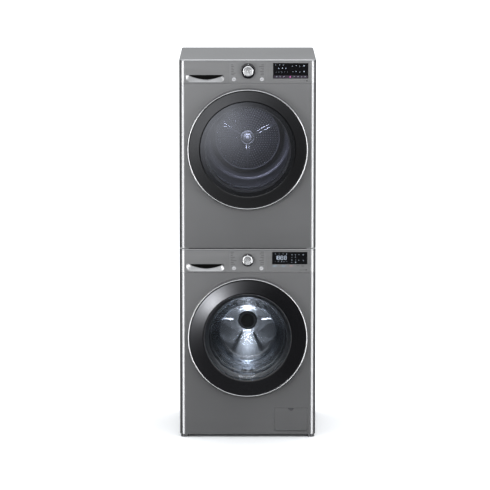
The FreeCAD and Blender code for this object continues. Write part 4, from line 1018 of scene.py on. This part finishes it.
def dial(machine, cap_share):
    """A dial: a knurled skirt, a spun cap in a groove, and a pointer mark."""
    low, high = corners(machine + "_knob")
    middle, skirt = (low + high) / 2, (high.x - low.x) / 2
    x, z, body = middle.x, middle.z, machine + "_dial"
    cap = skirt * cap_share
    face, base = low.y, FACE - 1.0 * MM
    grip = [(cap + 1.2 * MM, base), (skirt, base), (skirt, base - 3 * MM),
            (skirt - 0.4 * MM, base - 4 * MM)]
    grip += [(skirt + r, y) for r, y in in_mm((-1.2, 3.5), (-2, 1.6), (-3.6, 0.8), depth=face)]
    grip += [(cap + r, y) for r, y in in_mm((2, 0.8), (1.2, 1.6), depth=face)]

    def knurl(section, across, up):
        turn = math.atan2(up, across)
        bite = 0.22 * MM * (1 + math.cos(90 * turn))
        return [(r - bite if r > skirt - 1.5 * MM and y < base - 2 * MM else r, y)
                for r, y in section]

    ring(machine + "_dial_skirt", grip, x, z, BLACK_GLOSS, body, "dark_plastic", steps=540,
         notch=knurl, replaces=[machine + "_knob"])
    crown = [(cap + r, y) for r, y in in_mm((1, 3), (0.6, 1), (-0.6, 0.2), (-2, 0), depth=face)]
    top = curve([(cap + 1 * MM, base), *crown, (cap * 0.5, face + 0.35 * MM)], 4)
    ring(machine + "_dial_cap", top + [(0, face + 0.5 * MM), (0, base)], x, z, SPUN, body,
         "spun_metal", steps=160)
    pointer = bmesh.new()
    block(pointer, (x - 0.6 * MM, face + 0.05 * MM, z + skirt - 5.6 * MM),
          (x + 0.6 * MM, face + 1.4 * MM, z + skirt - 2.2 * MM), 0.25 * MM)
    link(machine + "_dial_pointer", pointer, WHITE, body, "dark_plastic")


dial("washer", 0.72)
dial("dryer", 0.63)


def button_sign(machine, kind, outlines):
    """A printed sign on a button's face; its outlines are in millimetres from the middle."""
    button = "%s_%s_button" % (machine, kind)
    middle, face = centre(button), corners(button)[0].y
    mesh = bmesh.new()
    for outline in outlines:
        plate(mesh, [(middle.x + a, middle.z + b) for a, b in in_mm(*outline)], face - SIGN, face)
    link("%s_%s_sign" % (machine, kind), mesh, PRINT, machine + "_" + kind, "dark_plastic")


# The usual signs: a ring with a stroke for power, a triangle with two strokes for start.
POWER_SIGN = (arc((0, 0), 2.6, 125, 415, 20) + arc((0, 0), 2.0, 415, 125, 20),
              rounded(-0.3, 0.3, 0.6, 3.2, 0.25, 2))
START_SIGN = ([(-2.8, -1.8), (0.2, 0), (-2.8, 1.8)], rounded(1.1, 1.8, -1.8, 1.8, 0.2, 2),
              rounded(2.4, 3.1, -1.8, 1.8, 0.2, 2))
for machine in ("washer", "dryer"):
    button_sign(machine, "power", POWER_SIGN)
    button_sign(machine, "start", START_SIGN)

# ---- Displays and printed marks -----------------------------------------------------

ZD0, ZW0 = DRYER_FASCIA_Z / MM, WASHER_FASCIA_Z / MM
PANE_Y = corners("display_windows")[0].y
LIT = 0.12 * MM                # thickness of the lit layer on a pane
WASHER_PANE = (108.0, 263.0, ZW0 + 35, ZW0 + 90)   # low and high x, low and high z
DRYER_PANE = (111.0, 265.0, ZD0 + 20, ZD0 + 88)
SEGMENTS = {"1": "bc", "8": "abcdefg"}


def digit_bars(x, z, wide, tall, sign):
    """The lit bars of a seven-segment digit whose lower left corner is at x, z."""
    thick = wide * 0.14
    half, gap = tall / 2, thick * 0.25
    across, up = wide - thick - 2 * gap, half - thick / 2 - 2 * gap
    places = {
        "a": (x + wide / 2, z + tall, across, thick), "d": (x + wide / 2, z, across, thick),
        "g": (x + wide / 2, z + half, across, thick),
        "f": (x, z + half * 1.5, thick, up), "b": (x + wide, z + half * 1.5, thick, up),
        "e": (x, z + half * 0.5, thick, up), "c": (x + wide, z + half * 0.5, thick, up),
    }
    return [places[letter] for letter in SEGMENTS[sign]]


def icon(kind, x, z, size):
    """Bars of a small generic sign around x, z."""
    s = size
    shapes = {
        "dash": [(0, 0, 1.6, 0.5)],
        "lines": [(0, 0.45, 1.8, 0.34), (-0.15, -0.25, 1.4, 0.34)],
        "cross": [(0, 0, 1.3, 0.36), (0, 0, 0.36, 1.3)],
        "tee": [(0, 0.5, 1.4, 0.34), (0, -0.15, 0.36, 1.1)],
        "box": [(0, 0.55, 1.4, 0.26), (0, -0.55, 1.4, 0.26), (-0.57, 0, 0.26, 1.2),
                (0.57, 0, 0.26, 1.2)],
        "drop": [(0, 0.55, 0.3, 0.5), (0, 0.05, 0.8, 0.5), (0, -0.45, 1.2, 0.6)],
        "dot": [(0, 0, 0.55, 0.55)],
        "steps": [(-0.45, -0.3, 0.3, 0.6), (0, -0.1, 0.3, 1.0), (0.45, 0.1, 0.3, 1.4)],
    }
    return [(x + a * s, z + b * s, w * s, h * s) for a, b, w, h in shapes[kind]]


def lay_out(pane, items):
    """Signs given as (kind, across, up, size), with across and up as shares of the pane."""
    x0, x1, z0, z1 = pane
    bars = []
    for kind, across, up, size in items:
        bars += icon(kind, x0 + across * (x1 - x0), z0 + up * (z1 - z0), size)
    return bars


def lit(name, bars, material):
    marks(name, bars, PANE_Y, LIT, material, slot="display_glass")


PANE_LEFT, PANE_FOOT = WASHER_PANE[0], WASHER_PANE[2]
DIGIT_WIDE, DIGIT_TALL = 9.5, 16
clock = [(PANE_LEFT + 35.4, PANE_FOOT + rise, 1.9, 1.9) for rise in (25.5, 32.5)]
for offset, sign in ((11, "1"), (23, "8"), (38, "8"), (53, "8")):
    clock += digit_bars(PANE_LEFT + offset, PANE_FOOT + 21, DIGIT_WIDE, DIGIT_TALL, sign)
lit("washer_clock", clock, ICON)
lit("washer_signs", lay_out(WASHER_PANE, [
    ("drop", 0.41, 0.84, 2.6), ("steps", 0.26, 0.23, 2.5), ("lines", 0.665, 0.16, 3.0)]), ICON)
lit("washer_dim_signs", lay_out(WASHER_PANE, [
    ("box", 0.09, 0.84, 2.2), ("cross", 0.20, 0.84, 2.2), ("tee", 0.31, 0.84, 2.2),
    ("dot", 0.09, 0.23, 2.4), ("box", 0.175, 0.23, 2.2), ("drop", 0.335, 0.23, 2.2),
    ("cross", 0.415, 0.23, 2.2), ("lines", 0.56, 0.77, 2.6), ("lines", 0.66, 0.76, 2.6),
    ("steps", 0.76, 0.79, 2.4), ("lines", 0.885, 0.76, 3.2), ("drop", 0.56, 0.58, 2.2),
    ("box", 0.66, 0.58, 2.2), ("lines", 0.56, 0.34, 2.6), ("tee", 0.66, 0.34, 2.2),
    ("drop", 0.755, 0.34, 2.2), ("box", 0.885, 0.31, 2.6), ("dash", 0.555, 0.16, 2.4)]),
    DIM_ICON)
lit("dryer_signs", lay_out(DRYER_PANE, [
    ("dot", 0.19, 0.88, 4.2), ("dot", 0.295, 0.88, 4.2), ("cross", 0.16, 0.665, 3.4),
    ("tee", 0.265, 0.665, 3.4), ("cross", 0.36, 0.665, 3.4), ("steps", 0.655, 0.83, 2.6),
    ("lines", 0.88, 0.82, 3.4), ("box", 0.655, 0.45, 2.6), ("lines", 0.88, 0.45, 3.4)]), ICON)
lit("dryer_dim_signs", lay_out(DRYER_PANE, [
    ("dash", 0.07, 0.88, 2.4), ("dot", 0.09, 0.42, 2.6), ("dot", 0.17, 0.42, 2.6),
    ("box", 0.25, 0.42, 2.0), ("dot", 0.33, 0.42, 2.6), ("dot", 0.41, 0.42, 2.6),
    ("drop", 0.55, 0.81, 2.4), ("drop", 0.755, 0.81, 2.4), ("tee", 0.565, 0.44, 2.4),
    ("steps", 0.755, 0.43, 2.4), ("lines", 0.10, 0.12, 3.0), ("lines", 0.20, 0.12, 2.6),
    ("lines", 0.31, 0.12, 3.0), ("lines", 0.60, 0.12, 2.6), ("lines", 0.71, 0.12, 3.0),
    ("drop", 0.81, 0.12, 2.4), ("lines", 0.91, 0.12, 3.0)]), DIM_ICON)
lit("dryer_lit_sign", lay_out(DRYER_PANE, [("lines", 0.49, 0.10, 3.0)]), PINK_ICON)

strip = (DRYER_PANE[0] + DRYER_PANE[1]) / 2, DRYER_PANE[2] + 7.5, 150.0, 12.0
marks("dryer_display_strip", [strip], PANE_Y, 0.03 * MM, SMOKE, slot="display_glass")


def labels(name, x, z_top, step, widths, align):
    """A column of short printed strokes beside a dial."""
    bars = [(x + align * wide / 2, z_top - i * step, wide, 2.2) for i, wide in enumerate(widths)]
    marks(name, bars, FACE - FILM_THICK, MARK * 0.5, PRINT)


FILM_X = (-84.4, 80.5)         # the film around each dial, with its height above the fascia's foot
FILM_Z = (1.6, 93.8)
for machine, foot in (("dryer", ZD0), ("washer", ZW0)):
    holes = []
    for control, r in (("_knob", 6), ("_power_button", 9.2), ("_start_button", 9.2)):
        at = centre(machine + control)
        holes.append(((at.x, at.z), r * MM))
    film = rounded(*FILM_X, foot + FILM_Z[0], foot + FILM_Z[1], 1.2, 4)
    pierced_film(machine + "_film", in_mm(*film), holes, FACE)

labels("dryer_labels_left", -72, ZD0 + 80, 7.2, (9, 12, 8, 13, 11, 20, 14), 1)
labels("dryer_labels_right", 71, ZD0 + 80, 7.2, (12, 22, 14, 9, 17, 12, 15), -1)
labels("washer_labels_left", -75, ZW0 + 89, 7.6, (15, 12, 9, 18, 11, 26, 14, 20), 1)
labels("washer_labels_right", 72, ZW0 + 89, 7.6, (14, 19, 12, 16, 10, 22, 15, 18), -1)

# Small printed words, as strokes: x, height above the fascia's foot, width, height.
SMALL_MARKS = ((232, 10, 5, 1.6), (239, 10, 4, 1.6), (248, 10, 6, 1.6))
PRINTED = (
    ("dryer_small_marks", ZD0, SMALL_MARKS + ((259, 10, 7, 5),), PRINT),
    ("washer_small_marks", ZW0, SMALL_MARKS + ((258, 10, 8, 4),), PRINT),
    ("washer_blue_labels", ZW0, ((121, 29, 20, 1.5), (118, 25, 14, 1.4), (160, 29, 20, 1.5),
                                 (158, 25, 15, 1.4)), BLUE_PRINT),
    ("washer_red_labels", ZW0, ((192, 29, 14, 1.5), (191, 25, 10, 1.4)), RED_PRINT),
    ("washer_grey_labels", ZW0, ((221, 29, 12, 1.4), (243, 29, 14, 1.4), (243, 25, 9, 1.4)), PRINT),
)
for name, foot, bars, ink in PRINTED:
    marks(name, [(x, foot + z, wide, tall) for x, z, wide, tall in bars], FACE, MARK, ink)

# ---- Finger notch of the hatch ------------------------------------------------------

NOTCH_R = 12.3 * MM
NOTCH_SHADE_Y = FRONT + 2.4 * MM
NOTCH_SHADE_THICK = 0.38 * MM
# A dark half-disc sheet behind the finger notch: painted shade inside the notch.
notch_shade = bmesh.new()
notch_at = (centre("washer_pump_hatch").x, corners("washer_pump_hatch")[1].z - 0.2 * MM)
plate(notch_shade, arc(notch_at, NOTCH_R, 180, 360, 24), NOTCH_SHADE_Y, NOTCH_SHADE_Y + NOTCH_SHADE_THICK)
link("washer_hatch_cup", notch_shade, DARK, "washer_hatch", "dark_plastic")

# ---- Details of the back panels -----------------------------------------------------

BACK_Y = corners("washer_side_panels")[1].y
DRYER_BACK_Y = corners("dryer_side_panels")[1].y
SERVICE_PLATE = 3 * MM         # how far the washer's service plate stands out
SCREW = ((5.4, 0), (5.4, 0.9), (3.9, 1.2), (3.7, 2.2), (2.6, 2.7), (1.5, 2.6), (1.1, 1.9),
         (0, 1.9), (0, 0))
CAP = ((19, 0), (19, 2.2), (17.5, 3.4), (10, 3.6), (8.4, 2.4), (6, 2.2), (0, 2.2), (0, 0))
HOOD = ((0, 0), (2.0, 2.6), (4.2, 4.4), (6.2, 4.8), (6.4, 4.0), (4.4, 3.6), (2.4, 2.0), (1.0, 0))


def screws(name, y, places):
    """Flanged screws on a back panel, at (x, z) in millimetres."""
    mesh = bmesh.new()
    for x, z in places:
        lathed(mesh, in_mm(*SCREW, depth=y), x * MM, z * MM, steps=20)
    link(name, mesh, STEEL, "cabinet", "galvanised")


def edge_places(x0, x1, z0, z1, across, up):
    """Evenly spaced places around a rectangle."""
    xs = [x0 + (x1 - x0) * i / across for i in range(across + 1)]
    zs = [z0 + (z1 - z0) * i / up for i in range(1, up)]
    return [(x, z) for x in xs for z in (z0, z1)] + [(x, z) for z in zs for x in (x0, x1)]


def louvres(name, x0, x1, z0, z1, count, y):
    """A row of pressed hoods over air openings, each hood open at its lower side; under each hood a
    dark sheet on the panel is painted shade for the opening.
    """
    hoods, slot_shade = bmesh.new(), bmesh.new()
    pitch = (z1 - z0) / count
    for k in range(count):
        base = z0 + (k + 0.35) * pitch
        ends = []
        for x, swell in ((x0, 0.0), (x0 + 4, 0.8), (x0 + 9, 1.0), (x1 - 9, 1.0), (x1 - 4, 0.8),
                         (x1, 0.0)):
            ends.append([hoods.verts.new((x * MM, y + rise * swell * MM,
                                          (base + pitch * 0.62 - drop) * MM))
                         for drop, rise in HOOD])
        for near, far in zip(ends, ends[1:]):
            for i in range(len(near)):
                j = (i + 1) % len(near)
                hoods.faces.new((near[i], near[j], far[j], far[i]))
        hoods.faces.new(ends[0][::-1])
        hoods.faces.new(ends[-1])
        # Painted shade: a dark sheet where the opening under the hood would be.
        outline = rounded(x0 + 4, x1 - 4, base - 0.5, base + 3.4, 1.6, 3)
        plate(slot_shade, in_mm(*outline), y, y + 0.2 * MM)
    link(name, hoods, ZINC, "cabinet", "galvanised")
    link(name + "_slots", slot_shade, DARK, "cabinet", "dark_plastic")


screws("washer_plate_screws", BACK_Y + SERVICE_PLATE, edge_places(-104, 104, 346, 554, 1, 2))
screws("washer_back_screws", BACK_Y, edge_places(-290, 290, 30, 822, 3, 6))
caps = bmesh.new()
for x in (-215, 215):
    for z in (300, 560):
        lathed(caps, in_mm(*CAP, depth=BACK_Y), x * MM, z * MM, steps=40)
link("transit_bolt_caps", caps, DARK, "cabinet", "dark_plastic")
louvres("washer_back_louvres", 60, 210, 640, 710, 6, BACK_Y)
screws("dryer_back_screws", DRYER_BACK_Y, edge_places(-290, 290, 862, 1662, 3, 6))
louvres("dryer_back_louvres", -90, 150, 880, 955, 6, DRYER_BACK_Y)

# ---- Finish of every CAD node -------------------------------------------------------

FINISH = (
    (SIDE_PAINT, "washer_side_panels dryer_side_panels"),
    (PAINT, "washer_top_panel dryer_top_panel washer_front_panel dryer_front_panel "
            "washer_pump_hatch"),
    (FASCIA, "washer_fascia dryer_fascia"),
    (DRAWER_FASCIA_RECESS_SHADE, "washer_drawer_front dryer_tank_front"),
    (ZINC, "back_panels washer_base_pan dryer_base stacking_kit dryer_front_bulkhead "
           "washer_motor_rotor"),
    (STEEL, "washer_springs door_hardware dryer_blower_shaft"),
    (SHADED_DRUM_STEEL, "washer_drum dryer_drum_shell dryer_drum_back dryer_drum_baffles"),
    # The lifters take the shaded steel: painted shade that dims their glints.
    (SHADED_STEEL, "washer_drum_lifters"),
    (ALLOY, "washer_drum_spider"),
    (COPPER, "washer_motor_stator"),
    (STONE, "washer_counterweights"),
    (CHROME, "washer_door_trim dryer_door_trim"),
    (SPUN, "washer_knob dryer_knob"),
    (SATIN, "washer_power_button washer_start_button dryer_power_button dryer_start_button"),
    (BLACK_GLOSS, "display_windows washer_door_bezel dryer_door_bezel"),
    (DARK, "feet dryer_motor dryer_heat_pump dryer_lint_filter washer_door_ring dryer_door_ring "
           "washer_door_inner_frame dryer_door_inner_frame dryer_roller_left dryer_roller_right"),
    (WHITE, "washer_dispenser_housing washer_drawer_tray dryer_water_tank washer_inlet_valves"),
    (GREY, "washer_tub washer_drain_pump washer_pump_filter"),
    (RUBBER, "washer_gasket"),
    (BLACK_RUBBER, "dryer_belt"),
    (BOWL_GLASS, "washer_door_bowl"),
    (WINDOW, "dryer_door_glass"),
)

for material, nodes in FINISH:
    for node in nodes.split():
        mesh = frame["nodes"][node].data
        mesh.materials.clear()
        mesh.materials.append(material)

make_camera()
make_studio()
